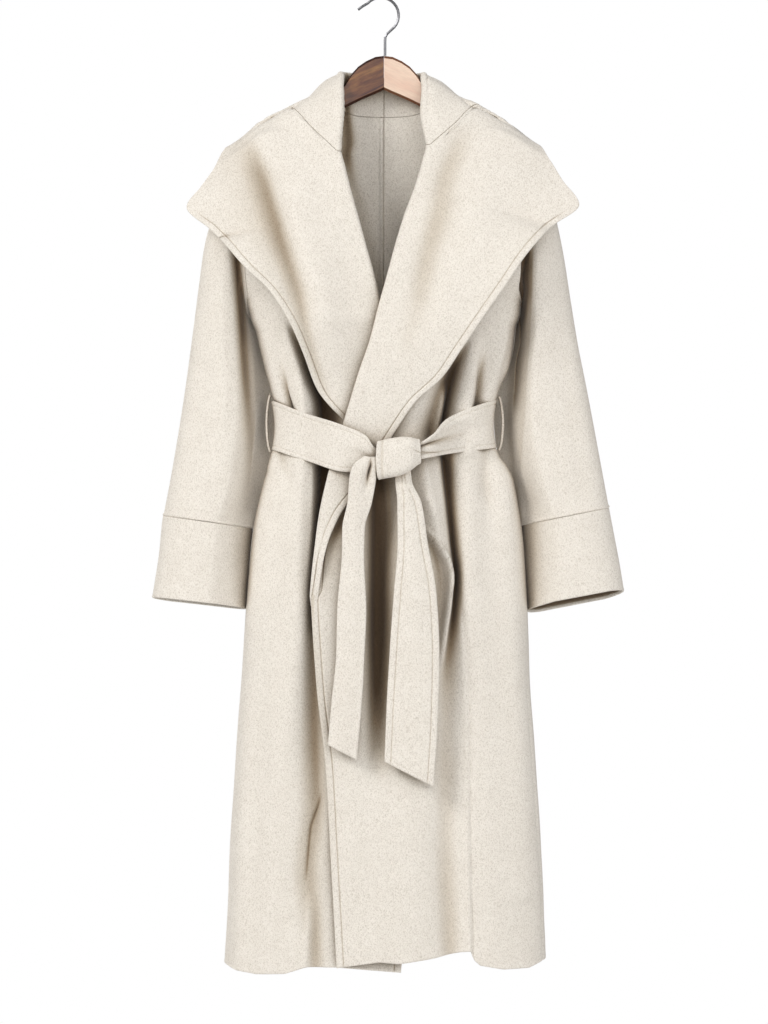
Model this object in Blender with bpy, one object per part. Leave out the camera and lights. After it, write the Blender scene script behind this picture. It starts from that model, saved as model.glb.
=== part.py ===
"""Wrap coat on its wooden hanger, as it hangs: a belted coat of thick felted
wool with a very wide collar and lapels.

Metres, +Z up, the front of the coat faces -Y.  The origin is the inside of
the hook's crown, where the hanger is hung up.  Names give the wearer's side:
the wearer's left is at +X.
"""
import math

import bmesh
import bpy
from mathutils import Vector

for old in list(bpy.data.objects):
    bpy.data.objects.remove(old, do_unlink=True)

MM = 0.001

# ---------------------------------------------------------------- sizes (mm)
CLOTH = 2.6            # thickness of the double-faced wool
SEAM = 0.17            # each sewn edge stops this far short of its seam line
CENTRE = 4.5           # x of the coat's centre line
ROLL = 4.0             # radius of the folded edge of a lapel or the collar
SHOULDER_DROP = 170.0  # height over which the chest rounds up to the shoulder
SHOULDER_ROUND = 2.0   # exponent of that rounding
WIDEST = -8.0          # y of the side seams
SIDE_ROUND = 2.8       # exponent of the body's oval
SWEEP = 16.0           # the hanger's wings bend forward this far at the tip
WING_REACH = 192.0     # centre of the hanger to a wing tip
WING_THICK = 12.0
WIRE = 3.8             # thickness of the hook's wire
HOOK_RADIUS = 25.0
BELT_THICK = 3.6
STAND_OFF_TOP = 15.0   # the upper front lies this far over the body's oval
SLEEVE_ROUND = 2.3


def table(columns, rows):
    """Rows of numbers under named columns."""
    names = columns.split()
    return {name: [float(row[k]) for row in rows] for k, name in enumerate(names)}


# Body at each height: outer x on both sides, and how far the front and the
# back stand from the side seams' plane.
BODY = table("z left right front back", [
    (-1362, -217, 231, 64, 58),
    (-1215, -210, 225, 63, 57),
    (-1100, -203, 218, 62, 56),
    (-978, -195, 209, 60, 54),
    (-845, -187, 203, 58, 52),
    (-742, -178, 195, 54, 50),
    (-675, -163, 182, 49, 48),
    (-640, -150, 160, 44, 45),
    (-600, -146, 152, 42, 43),
    (-555, -150, 160, 44, 45),
    (-515, -162, 180, 48, 48),
    (-466, -174, 188, 52, 50),
    (-426, -181, 190, 54, 51),
    (-390, -206, 215, 54, 50),
    (-350, -222, 231, 51, 48),
    (-300, -228, 237, 47, 46),
    (-214, -230, 239, 39, 39),
    (-110, -230, 239, 30, 26),
])

# Ridge of the shoulder: distance from the centre line against height.
RIDGE = table("d z", [
    (0, -79), (40, -101), (64, -117), (82, -127.5), (107, -144.5), (131, -159),
    (155, -175.5), (180, -191), (190, -198), (201, -207), (230, -246),
])

# Hanger wing, from its mitre outwards: top and bottom edge.
WING = table("d top bottom", [
    (0, -80, -127.5), (12, -81.5, -133), (25, -87.5, -138.5), (36, -95, -143.5),
    (45, -105, -148), (55, -120, -153), (64, -125, -157), (82, -135, -166),
    (107, -151.5, -181), (131, -166, -194), (155, -182.5, -207), (172, -193, -215),
    (184, -202, -219), (WING_REACH, -208, -216),
])

# Edge of a front panel that runs from the side seam, up the armhole and in
# along the shoulder seam to the neck ("side" is the share of the half width),
# against the other edge: free edge below, roll line above.
FRONT_LEFT = table("side side_z edge_x edge_z", [
    (1, -1350, -61, -1348),
    (1, -1205, -69, -1205),
    (1, -1065, -77, -1065),
    (1, -960, -89, -960),
    (1, -826, -97, -826),
    (1, -760, -91, -760),
    (1, -680, -78, -680),
    (1, -640, -66, -640),
    (1, -600, -54, -600),
    (1, -552, -39, -552),
    (1, -500, -22, -500),
    (1, -455, -6, -448),
    (1, -426, 8, -402),
    (0.906, -390, 20, -362),
    (0.846, -345, 31, -326),
    (0.838, -280, 41, -294),
    (0.852, -236, 49, -268),
    (0.862, -207, 54, -247),
    (0.62, -165, 59, -230),
    (0.45, -141, 61, -219),
    (0.328, -124, 63, -208),
])
FRONT_RIGHT = table("side side_z edge_x edge_z", [
    (1, -1352, 28, -1356),
    (1, -1205, 42, -1205),
    (1, -1065, 55, -1065),
    (1, -960, 64, -960),
    (1, -842, 70, -842),
    (1, -760, 66, -760),
    (1, -680, 59, -680),
    (1, -640, 53, -640),
    (1, -600, 47, -600),
    (1, -552, 36, -552),
    (1, -500, 21, -500),
    (1, -455, 8, -445),
    (1, -426, -4, -402),
    (0.906, -390, -16, -361),
    (0.846, -345, -26, -325),
    (0.838, -280, -36, -290),
    (0.852, -236, -43, -265),
    (0.862, -207, -48, -247),
    (0.62, -165, -51, -233),
    (0.45, -141, -53, -225),
    (0.328, -124, -55, -217),
])

# Back panels: the same outer edge against the centre-back seam.
BACK = table("side side_z centre_z bow", [
    (1, -1350, -1352, 0),
    (1, -1205, -1205, 0),
    (1, -1065, -1065, 0),
    (1, -930, -930, 0),
    (1, -800, -800, 0),
    (1, -700, -700, 0),
    (1, -640, -640, 0),
    (1, -600, -598, 0),
    (1, -560, -552, 0),
    (1, -520, -505, 0),
    (1, -475, -460, 0),
    (1, -426, -410, 0),
    (0.906, -390, -370, 0),
    (0.846, -345, -330, 0),
    (0.838, -280, -285, 0),
    (0.852, -236, -250, 0),
    (0.862, -207, -220, 4),
    (0.62, -165, -190, 12),
    (0.45, -141, -176, 17),
    (0.328, -124, -164, 20),
])

# Lapels, a row for each section from the lower end up to the gorge seam:
# where the roll line is, a point half way, and the free edge.  "face" is -1
# on the front, 0 on the shoulder's ridge and 1 on the back, and "lift" is how
# far the point stands off the body's oval there.
LAPEL_LEFT = table("roll_x roll_z mid_x mid_z mid_face mid_lift edge_x edge_z edge_face edge_lift", [
    (-97, -826, -91, -826, -1, 24, -85, -826, -1, 25),
    (-94, -785, -87, -784, -1, 24, -79, -781, -1, 25),
    (-85, -722, -72, -724, -1, 23, -58, -726, -1, 23),
    (-75, -671, -49, -672, -1, 23, -20, -672, -1, 23),
    (-54, -600, -16, -601, -1, 23, 22, -604, -1, 23),
    (-44, -566, 2, -562, -1, 24, 48, -566, -1, 26),
    (-30, -521, 26, -514, -1, 28, 86, -531, -1, 32),
    (-15, -478, 48, -470, -1, 30, 112, -493, -1, 40),
    (0, -421, 76, -422, -1, 28, 146, -443, -1, 46),
    (16, -364, 94, -372, -1, 22, 174, -403, -1, 50),
    (32, -305, 113, -322, -1, 18, 202, -362, -1, 50),
    (41, -282, 133, -291, -1, 14, 238, -322, -1, 46),
    (49, -260, 147, -257, -1, 12, 276, -291, -1, 36),
    (55, -240, 150, -220, -1, 10, 254, -258, -1, 24),
    (59, -225, 150, -186, -1, 10, 236, -228, -1, 14),
    (62, -216, 152, -165, 0, 2, 216, -204, 0, 8),
    (63, -208, 134, -149, 0, 2, 176, -246, 1, 8),
])
LAPEL_RIGHT = table("roll_x roll_z mid_x mid_z mid_face mid_lift edge_x edge_z edge_face edge_lift", [
    (52, -640, 18, -628, -1, 8, -20, -616, -1, 8),
    (47, -600, 0, -594, -1, 8, -48, -594, -1, 8),
    (36, -552, -38, -551, -1, 8, -88, -549, -1, 15),
    (21, -500, -22, -500, -1, 8, -107, -500, -1, 30),
    (4, -444, -14, -446, -1, 9, -127, -454, -1, 44),
    (-8, -392, -78, -400, -1, 20, -157, -409, -1, 48),
    (-20, -348, -98, -356, -1, 18, -188, -380, -1, 50),
    (-30, -311, -118, -322, -1, 16, -219, -344, -1, 48),
    (-38, -284, -132, -292, -1, 14, -238, -325, -1, 44),
    (-44, -262, -140, -258, -1, 12, -270, -295, -1, 36),
    (-48, -246, -146, -222, -1, 10, -252, -268, -1, 24),
    (-51, -233, -144, -188, -1, 10, -234, -242, -1, 14),
    (-53, -225, -147, -167, 0, 2, -212, -208, 0, 8),
    (-55, -217, -127, -153, 0, 2, -170, -250, 1, 8),
])

# Collar halves from centre back to the gorge seam: neck seam, crest of the
# roll, which way the fall faces there (degrees, 90 is straight back), a point
# half way down the fall, and the free edge.
COLLAR_LEFT = table("seam_x seam_y seam_z roll_x roll_y roll_z turn mid_x mid_y mid_z edge_x edge_y edge_z", [
    (4.5, 27, -164, 4.5, 24, -107, 90, 4.5, 48, -190, 4.5, 56, -300),
    (32, 26, -163, 30, 23, -106, 80, 42, 48, -188, 60, 56, -298),
    (57, 21, -148, 50, 16, -103, 55, 76, 42, -172, 112, 53, -290),
    (79, 2, -120, 60, 3, -102, 10, 98, 14, -132, 146, 48, -276),
    (78.5, -19, -139, 60, -14, -117, -30, 112, 4, -139, 164, 43, -262),
    (72.5, -31, -178, 54, -32, -158, -65, 124, -1, -143, 172, 41, -252),
    (68.5, -39, -204, 59, -43, -198, -90, 134, -2, -148, 176, 40, -246),
])
COLLAR_RIGHT = table("seam_x seam_y seam_z roll_x roll_y roll_z turn mid_x mid_y mid_z edge_x edge_y edge_z", [
    (4.5, 27, -164, 4.5, 24, -107, 90, 4.5, 48, -190, 4.5, 56, -300),
    (-23, 26, -163, -21, 23, -106, 100, -33, 48, -188, -51, 56, -298),
    (-48, 21, -148, -42, 16, -102, 125, -67, 42, -172, -103, 53, -290),
    (-70, 2, -120, -56, 3, -101, 170, -90, 14, -131, -137, 48, -278),
    (-70, -19, -139, -55, -14, -110, 210, -103, 4, -140, -155, 43, -266),
    (-65, -31, -180, -49, -32, -158, 245, -116, -1, -146, -164, 41, -256),
    (-60.5, -39, -212, -49, -43, -205, 270, -127, -2, -152, -170, 40, -250),
])

# Sleeves below the armhole: outer and inner point of each section, and how
# far its front and back stand from its middle plane.
SLEEVE_RIGHT = table("out_x out_z in_x in_z y deep tuck", [
    (-215, -242, -186, -433, -4, 36, 0),
    (-230, -290, -188, -451, -4, 36, 0),
    (-246, -345, -181, -472, -4, 35, 12),
    (-254, -400, -165, -497, -4, 34, 28),
    (-261, -454, -153, -530, -4, 34, 33),
    (-275, -556, -149, -588, -5, 34, 34),
    (-294, -672, -160, -684, -8, 34, 32),
    (-304, -724, -179, -742, -10, 34, 16),
])
SLEEVE_LEFT = table("out_x out_z in_x in_z y deep tuck", [
    (224, -240, 195, -433, -4, 36, 0),
    (240, -290, 196, -449, -4, 36, 2),
    (254, -352, 187, -469, -4, 35, 15),
    (266, -426, 174, -494, -4, 34, 31),
    (275, -480, 163, -530, -4, 34, 35),
    (290, -556, 159, -596, -5, 34, 36),
    (310, -664, 177, -690, -8, 34, 31),
    (319, -713, 196, -738, -10, 34, 16),
])
CUFF_RIGHT = table("out_x out_z in_x in_z y deep tuck", [
    (-304.5, -724.6, -179, -742.6, -10, 36, 16),
    (-311, -781, -183, -800, -12, 37, 14),
    (-320, -838, -187, -853, -14, 38, 10),
])
CUFF_LEFT = table("out_x out_z in_x in_z y deep tuck", [
    (319.5, -713.6, 196, -738.6, -10, 36, 16),
    (330, -773, 199.5, -797, -12, 37, 14),
    (340, -829, 204, -855, -14, 38, 10),
])

# Front of the belt, from the wearer's right side over the knot to the left.
BELT_RIGHT = table("x top bottom", [
    (-152, -563, -632), (-98, -583, -649), (-50, -599, -663), (-20, -613, -664),
    (-8, -629, -662), (8, -634, -656),
])
BELT_LEFT = table("x top bottom", [
    (40, -628, -648), (58, -621, -645), (93, -588, -638), (121, -574, -634),
    (160, -560, -629),
])

# Hanging ends of the belt: both edges at each height.
TAIL_RIGHT = table("z left right y", [
    (-669, -42, -9, -86), (-705, -46, -13, -93), (-740, -53, -23, -96),
    (-780, -54, -23, -97), (-850, -60, -20, -97), (-920, -62, -23, -97),
    (-980, -68, -27, -98), (-1040, -73, -33, -99),
])
TAIL_LEFT = table("z left right y", [
    (-676, 20, 43, -88), (-705, 23, 56, -94), (-760, 23, 65, -97),
    (-830, 18, 77, -98), (-900, 13, 81, -98), (-985, 8, 79, -98),
    (-1063, 5, 73, -99),
])
TAIL_SLANT_RIGHT = 21.0   # the end cut falls this much across the width
TAIL_SLANT_LEFT = 35.0


# ------------------------------------------------------------------- curves
def curve(xs, ys, x):
    """Value at x of a smooth curve through the points that never overshoots."""
    if xs[0] > xs[-1]:
        xs, ys = xs[::-1], ys[::-1]
    n = len(xs)
    if x <= xs[0]:
        return ys[0]
    if x >= xs[-1]:
        return ys[-1]
    k = 0
    while x > xs[k + 1]:
        k += 1
    step = [xs[j + 1] - xs[j] for j in range(n - 1)]
    rise = [(ys[j + 1] - ys[j]) / step[j] for j in range(n - 1)]

    def slope(j):
        if j == 0:
            return rise[0]
        if j == n - 1:
            return rise[-1]
        a, b = rise[j - 1], rise[j]
        if a * b <= 0:
            return 0.0
        wa, wb = 2 * step[j] + step[j - 1], step[j] + 2 * step[j - 1]
        return (wa + wb) / (wa / a + wb / b)

    t = (x - xs[k]) / step[k]
    m0, m1 = slope(k) * step[k], slope(k + 1) * step[k]
    return ((2 * t ** 3 - 3 * t ** 2 + 1) * ys[k] + (t ** 3 - 2 * t ** 2 + t) * m0
            + (-2 * t ** 3 + 3 * t ** 2) * ys[k + 1] + (t ** 3 - t ** 2) * m1)


def at(rows, key, name, value):
    return curve(rows[key], rows[name], value)


def row_at(rows, name, v):
    """Column value at v from 0, the first row, to 1, the last."""
    ys = rows[name]
    return curve([k / (len(ys) - 1) for k in range(len(ys))], ys, v)


def through(points, s):
    """Point at s of 0..1 on a smooth curve through four 3-D points, the third
    of which, on a shoulder's ridge or half way, is met at s = 0.5."""
    return Vector([curve([0, 0.25, 0.5, 1], [p[k] for p in points], s) for k in range(3)])


def ease(t):
    t = min(max(t, 0.0), 1.0)
    return t * t * (3 - 2 * t)


# --------------------------------------------------------------- body's oval
def ridge_y(x):
    """The wings sweep forward, and the shoulders with them."""
    return -SWEEP * min(abs(x - CENTRE) / 205.0, 1.1) ** 2


def half_width(z):
    lo, hi = at(BODY, "z", "left", z), at(BODY, "z", "right", z)
    return (lo + hi) / 2, (hi - lo) / 2 - CLOTH / 2


def body_y(x, z, face):
    """y of the cloth's middle on the front (face -1) or the back (+1)."""
    middle, half = half_width(z)
    xi = min(abs(x - middle) / half, 1.0)
    side = (1 - xi ** SIDE_ROUND) ** (1 / SIDE_ROUND)
    rise = (at(RIDGE, "d", "z", abs(x - CENTRE)) - z) / SHOULDER_DROP
    q = min(max(rise, 0.0), 1.0)
    top = (1 - (1 - q) ** SHOULDER_ROUND) ** (1 / SHOULDER_ROUND)
    depth = at(BODY, "z", "front" if face < 0 else "back", z)
    base = WIDEST * q + ridge_y(x) * (1 - q)
    return base + face * depth * side * top


def overlap(x, z):
    """How far the upper front lies over the oval: full over the under front,
    fading towards the wearer's left side and above the crossing."""
    across = ease((125.0 - x) / 90.0)
    up = ease((-290.0 - z) / 100.0)
    low = 1.0 - 0.25 * ease((-700.0 - z) / 500.0)
    return STAND_OFF_TOP * across * up * low


def stand_off(x, z, face, lift, upper):
    """Point that stands lift off the body: face -1 front, 0 ridge, 1 back."""
    if face == 0:
        return Vector((x, ridge_y(x) + lift, z))
    y = body_y(x, z, face) + face * lift
    return Vector((x, y, z))


def clear(point, gap, upper):
    """Push a point that would lie in the shoulders or chest out of them."""
    x, y, z = point
    middle, half = half_width(z)
    xi = min(abs(x - middle) / half, 1.0)
    side = (1 - xi ** SIDE_ROUND) ** (1 / SIDE_ROUND)
    crest = at(RIDGE, "d", "z", abs(x - CENTRE))
    low = crest - SHOULDER_DROP
    q = min(max((crest - z) / SHOULDER_DROP, 0.0), 1.0)
    base = WIDEST * q + ridge_y(x) * (1 - q)
    face = -1 if y < base else 1
    reach = at(BODY, "z", "front" if face < 0 else "back", z) * side + gap
    if upper and face < 0:
        reach += overlap(x, z)
    if z <= low:
        if abs(y - base) < reach:
            y = base + face * reach
        return Vector((x, y, z))
    u, h = (y - base) / reach, (z - low) / (SHOULDER_DROP + gap)
    r = (abs(u) ** SHOULDER_ROUND + h ** SHOULDER_ROUND) ** (1 / SHOULDER_ROUND)
    if r < 1:
        y, z = base + (y - base) / r, low + (z - low) / r
    return point.lerp(Vector((x, y, z)), ease((228 - abs(x - CENTRE)) / 24))


# ------------------------------------------------------------------- solids
def finish(name, bm, colour, roughness, metallic=0.0, smooth=True):
    bmesh.ops.recalc_face_normals(bm, faces=bm.faces)
    if bm.calc_volume(signed=True) < 0:
        bmesh.ops.reverse_faces(bm, faces=bm.faces)
    bmesh.ops.triangulate(bm, faces=bm.faces)
    mesh = bpy.data.meshes.new(name)
    bm.to_mesh(mesh)
    bm.free()
    if smooth:
        mesh.shade_smooth()
        mesh.set_sharp_from_angle(angle=math.radians(40))
    obj = bpy.data.objects.new(name, mesh)
    bpy.context.scene.collection.objects.link(obj)
    material = bpy.data.materials.new(name + "_material")
    material.use_nodes = True
    shader = material.node_tree.nodes["Principled BSDF"]
    shader.inputs["Base Color"].default_value = (*colour, 1.0)
    shader.inputs["Roughness"].default_value = roughness
    shader.inputs["Metallic"].default_value = metallic
    mesh.materials.append(material)
    return obj


WOOL = (0.78, 0.74, 0.67)


def trimmed(grid, pts, i, j, i2, j2, cut, closed_off):
    """Move the border point i, j towards i2, j2, or at a corner towards the
    inside, square to the border."""
    rows, cols = len(grid), len(grid[0])
    if i2 != i:
        border = grid[i][min(j + 1, cols - 1)] - grid[i][max(j - 1, 0)]
    else:
        border = grid[min(i + 1, rows - 1)][j] - grid[max(i - 1, 0)][j]
    if i2 == i and i in (0, rows - 1):
        i2 = 1 if i == 0 else rows - 2
    if j2 == j and j in (0, cols - 1) and closed_off:
        j2 = 1 if j == 0 else cols - 2
    way = grid[i2][j2] - grid[i][j]
    border.normalize()
    way -= border * way.dot(border)
    if way.length > 1e-6:
        pts[i][j] += way.normalized() * cut


def wall(name, surface, stations, n_cols, thick=CLOTH, loop=False, trim=(0, 0, 0, 0)):
    """Cloth of even thickness on a surface(v, s) that gives points of its
    middle: v runs over the rows and s across them, from 0 to 1.  stations is
    the number of rows or their places; loop closes each row on itself; trim
    shortens the first row, last row, first column and last column, where a
    column's may be a function of the row, counted from the last one, -1."""
    step = 0.004 if loop else 0.0006
    cols = n_cols if loop else n_cols + 1
    places = stations if isinstance(stations, list) else [i / stations for i in range(stations + 1)]
    rows = len(places)
    grid, normals = [], []
    for v in places:
        line, facing = [], []
        for j in range(cols):
            s = j / n_cols
            up = surface(min(v + step, 1), s) - surface(max(v - step, 0), s)
            if loop:
                along = surface(v, (s + step) % 1) - surface(v, (s - step) % 1)
            else:
                along = surface(v, min(s + step, 1)) - surface(v, max(s - step, 0))
            normal = up.normalized().cross(along.normalized())
            if normal.length < 0.3:
                inside = s + (0.15 if s < 0.5 else -0.15)
                up = surface(min(v + step, 1), inside) - surface(max(v - step, 0), inside)
                along = surface(v, inside + step) - surface(v, inside - step)
                normal = up.cross(along)
            facing.append(normal.normalized())
            line.append(surface(v, s))
        grid.append(line)
        normals.append(facing)
    for i in range(1, rows - 1):
        for j in range(0 if loop else 1, cols if loop else cols - 1):
            here, k = grid[i][j], (j + 1) % cols
            up = (grid[i + 1][j] - here).normalized() + (here - grid[i - 1][j]).normalized()
            along = (grid[i][k] - here).normalized() + (here - grid[i][j - 1]).normalized()
            normals[i][j] = up.cross(along).normalized()
    pts = [[p.copy() for p in row] for row in grid]
    for edge, inner, cut in ((0, 1, trim[0]), (rows - 1, rows - 2, trim[1])):
        if cut:
            for j in range(cols):
                trimmed(grid, pts, edge, j, inner, j, cut, not loop)
    if not loop:
        for edge, inner, cut in ((0, 1, trim[2]), (cols - 1, cols - 2, trim[3])):
            if cut:
                for i in range(rows):
                    far = cut if isinstance(cut, (int, float)) else cut(i - rows)
                    trimmed(grid, pts, i, edge, i, inner, far, True)
    bm = bmesh.new()
    skins = [[[bm.verts.new((pts[i][j] + normals[i][j] * (sign * thick)) * MM) for j in range(cols)]
              for i in range(rows)] for sign in (-0.5, 0.5)]
    last = cols if loop else cols - 1
    for skin in skins:
        for i in range(rows - 1):
            for j in range(last):
                k = (j + 1) % cols
                bm.faces.new((skin[i][j], skin[i][k], skin[i + 1][k], skin[i + 1][j]))
    a, b = skins
    for i in (0, rows - 1):
        for j in range(last):
            k = (j + 1) % cols
            bm.faces.new((a[i][j], a[i][k], b[i][k], b[i][j]))
    if not loop:
        for j in (0, cols - 1):
            for i in range(rows - 1):
                bm.faces.new((a[i][j], a[i + 1][j], b[i + 1][j], b[i][j]))
    return finish(name, bm, WOOL, 0.95)


# ------------------------------------------------------- fronts and backs
def outer_edge(rows, v, sign):
    """Point (x, z) on the side seam, armhole or shoulder seam."""
    z = row_at(rows, "side_z", v)
    middle, half = half_width(z)
    x = middle + sign * half * row_at(rows, "side", v)
    if z >= -207.0:
        z = at(RIDGE, "d", "z", abs(x - CENTRE))
    return x, z


def spread(v, s):
    """Share of the way across: closer together where the oval turns."""
    s = s ** 1.25
    low = ease((0.66 - v) / 0.08)
    return s + 0.35 * low * (1 - math.cos(s * math.pi / 2) - s)


def front(rows, sign, upper, folds):
    """sign is -1 for the wearer's right front, +1 for the left; above its
    lower end the lapel's roll line is the front's edge."""
    def surface(v, s):
        ax, az = outer_edge(rows, v, sign)
        ex, ez = row_at(rows, "edge_x", v), row_at(rows, "edge_z", v)
        rolled = ease((ez - folds["roll_z"][0]) / 12 + 1.0)
        ex += (at(folds, "roll_z", "roll_x", ez) + sign * (ROLL + CLOTH / 2) - ex) * rolled
        share = spread(v, s)
        x, z = ax + (ex - ax) * share, az + (ez - az) * share
        y = body_y(x, z, -1)
        if upper:
            y -= overlap(x, z)
        return Vector((x, y, z))
    return surface


def back(sign):
    def surface(v, s):
        ax, az = outer_edge(BACK, v, sign)
        cz, bow = row_at(BACK, "centre_z", v), row_at(BACK, "bow", v)
        share = spread(v, s)
        x = ax + (CENTRE - ax) * share
        z = az + (cz - az) * share - bow * math.sin(math.pi * share)
        return Vector((x, body_y(x, z, 1), z))
    return surface


def folded(apex, across, outward, radius, t):
    """Point at t of 0..1 on the half circle over a fold."""
    a = math.pi * (t - 0.5)
    centre = apex - across * (radius + CLOTH / 2)
    return centre + across * (radius * math.cos(a)) + outward * (radius * math.sin(a))


def lapel(rows, sign, upper, fold):
    """fold is the share of each row that goes round the roll."""
    def surface(v, s):
        rx, rz = row_at(rows, "roll_x", v), row_at(rows, "roll_z", v)
        under_x = rx + sign * (ROLL + CLOTH / 2)
        y = body_y(under_x, rz, -1) - (overlap(under_x, rz) if upper else 0) - ROLL
        apex, inward, outward = Vector((rx, y, rz)), Vector((-sign, 0, 0)), Vector((0, -1, 0))
        if s < fold:
            return folded(apex, inward, outward, ROLL, s / fold)
        top = folded(apex, inward, outward, ROLL, 1)
        pts = [top]
        for part in ("mid_", "edge_"):
            face = row_at(rows, part + "face", v)
            x, z, lift = (row_at(rows, part + c, v) for c in ("x", "z", "lift"))
            if face <= 0:
                front_point = stand_off(x, z, -1, lift, upper)
                pts.append(front_point.lerp(stand_off(x, z, 0, lift, upper), 1 + face))
            else:
                pts.append(stand_off(x, z, 0, lift, upper).lerp(stand_off(x, z, 1, lift, upper), face))
        if (pts[1] - top).length < 14:
            pts[1] = top.lerp(pts[2], 0.5)
        pts.insert(1, top.lerp(pts[1], 0.5))
        t = (s - fold) / (1 - fold)
        return clear(through(pts, t), 8, upper)
    return surface


def lapel_stations(rows, panel):
    """Rows at the heights of the front's own rows, and closer at the top."""
    def place(z):
        lo, hi = 0.0, 1.0
        for _ in range(40):
            mid = (lo + hi) / 2
            if row_at(rows, "roll_z", mid) < z:
                lo = mid
            else:
                hi = mid
        return (lo + hi) / 2
    places = [0.0] + [place(z) for z in panel["edge_z"] if z > rows["roll_z"][0] + 5]
    places[-1] = 1.0
    for k in range(len(places) - 1, len(places) - 5, -1):
        places.append((places[k] + places[k - 1]) / 2)
    return sorted(places)


def collar(rows, fold_from, fold_to, gorge):
    """The share fold_from..fold_to of each row goes round the roll.  gorge is
    the lapel's surface, whose last row the collar's last row meets."""
    def fall(v, t):
        seam, roll, mid, edge = (Vector([row_at(rows, part + c, v) for c in "xyz"])
                                 for part in ("seam_", "roll_", "mid_", "edge_"))
        turn = math.radians(row_at(rows, "turn", v))
        away = Vector((math.cos(turn), math.sin(turn), 0))
        up = roll - seam
        up = (up - away * up.dot(away)).normalized()
        if t < 0:
            return seam, roll, up, away
        start = folded(roll, up, away, ROLL, 1)
        over = start.lerp(mid, 0.5) + Vector((0, 0, 3))
        return clear(through([start, over, mid, edge], t), 8 * ease(t / 0.07), False)

    def surface(v, s):
        seam, roll, up, away = fall(v, -1)
        if s < fold_from:
            return seam.lerp(folded(roll, up, away, ROLL, 0), s / fold_from)
        if s < fold_to:
            return folded(roll, up, away, ROLL, (s - fold_from) / (fold_to - fold_from))
        t = (s - fold_to) / (1 - fold_to)
        meet = ease((v - 0.55) / 0.45) * ease(t / 0.1)
        return fall(v, t) + (gorge(1.0, GORGE_FOLD + (1 - GORGE_FOLD) * t) - fall(1.0, t)) * meet
    return surface


# ----------------------------------------------------------------- sleeves
def armhole(sign):
    """Closed loop round the armhole, from the shoulder down the front and up
    the back."""
    rows = FRONT_LEFT if sign > 0 else FRONT_RIGHT
    count = len(rows["side"])
    low, high = 12 / (count - 1), 17 / (count - 1)

    def ring(s):
        a = 2 * math.pi * s
        v = high + (low - high) * (1 - math.cos(a)) / 2
        x, z = outer_edge(rows, v, sign)
        y = body_y(x, z, -1 if math.sin(a) >= 0 else 1)
        return Vector((x + sign * (CLOTH / 2 + 1.6), y, z))
    return ring


def tube(rows, sign, first=None, share=0.1):
    """Flattened tube.  Its inner edge thins out and is tucked back by "tuck",
    behind the side of the body."""
    def section(v, s):
        out = Vector((row_at(rows, "out_x", v), 0, row_at(rows, "out_z", v)))
        inn = Vector((row_at(rows, "in_x", v), 0, row_at(rows, "in_z", v)))
        way = (out - inn).normalized()
        out, inn = out - way * CLOTH / 2, inn + way * CLOTH / 2
        y, deep = row_at(rows, "y", v), row_at(rows, "deep", v) - CLOTH / 2
        ca, sa = math.cos(2 * math.pi * s), math.sin(2 * math.pi * s)
        p = 2 / SLEEVE_ROUND
        point = (out + inn) / 2 + (out - inn) / 2 * math.copysign(abs(ca) ** p, ca)
        reach = (out - inn).length / 2 * (1 + math.copysign(abs(ca) ** p, ca))
        tuck = row_at(rows, "tuck", v)
        thin = 1 - 0.6 * (1 - ease((reach - 10) / 44)) * min(tuck / 28, 1)
        back = tuck * (1 - ease((reach - 2) / 52))
        point.y = y + back - deep * thin * math.copysign(abs(sa) ** p, sa)
        return point

    def surface(v, s):
        if not first:
            return section(v, s)
        if v >= share:
            return section((v - share) / (1 - share), s)
        return first(s).lerp(section(0, s), v / share)
    return surface


# -------------------------------------------------------------------- belt
def belt_band():
    """Round the waist from the knot over the wearer's right side, the back
    and the left side to the knot again."""
    turn_in = 118.0   # x where the front stretches start to turn to the sides
    grow = CLOTH / 2 + BELT_THICK / 2 + 4.6

    def surface(v, s):
        if v < 0.22 or v > 0.78:
            if v < 0.22:
                x, rows = 8 + (-turn_in - 8) * v / 0.22, BELT_RIGHT
                extra = 26 * ease((x + 110) / 55) + 9 * ease((x + 45) / 40)
            else:
                x, rows = turn_in + 8 + (42 - turn_in - 8) * (v - 0.78) / 0.22, BELT_LEFT
                extra = 25 * ease((108 - x) / 48)
            top, bottom = at(rows, "x", "top", x), at(rows, "x", "bottom", x)
            z = top + (bottom - top) * s
            y = body_y(x, z, -1) - (overlap(x, z) if v > 0.5 else 0)
            return Vector((x, y - 7.1 - extra, z))
        turn = (v - 0.22) / 0.56
        p = 2 / SIDE_ROUND
        middle, half = half_width(-600)
        first = math.acos(((turn_in + middle) / (half + grow)) ** (1 / p))
        last = math.acos(((turn_in + 8 - middle) / (half + grow)) ** (1 / p))
        a = -first + (math.pi + first + last) * turn
        ca, sa = math.cos(a), math.sin(a)
        x = middle - (half + grow) * math.copysign(abs(ca) ** p, ca)
        wide = -563 - 68 * s
        half += (half_width(wide)[1] - half) * abs(ca)
        rows = BELT_RIGHT if turn < 0.5 else BELT_LEFT
        side = rows["x"][0] if turn < 0.5 else rows["x"][-1]
        lead = x if sa < 0 else side
        top, bottom = at(rows, "x", "top", lead), at(rows, "x", "bottom", lead)
        z = top + (bottom - top) * s
        x = middle - (half + grow) * math.copysign(abs(ca) ** p, ca)
        deep = at(BODY, "z", "back" if sa > 0 else "front", z) + grow
        return Vector((x, WIDEST + deep * math.copysign(abs(sa) ** p, sa), z))
    return surface


def strip(rows, slant):
    zs = rows["z"]

    def surface(v, s):
        z = zs[0] + (zs[-1] - zs[0]) * v
        left, right, y = (at(rows, "z", c, z) for c in ("left", "right", "y"))
        bulge = 2.5 * math.sin(math.pi * s)
        return Vector((left + (right - left) * s, y - bulge, z - slant * s * v ** 3))
    return surface


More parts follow.
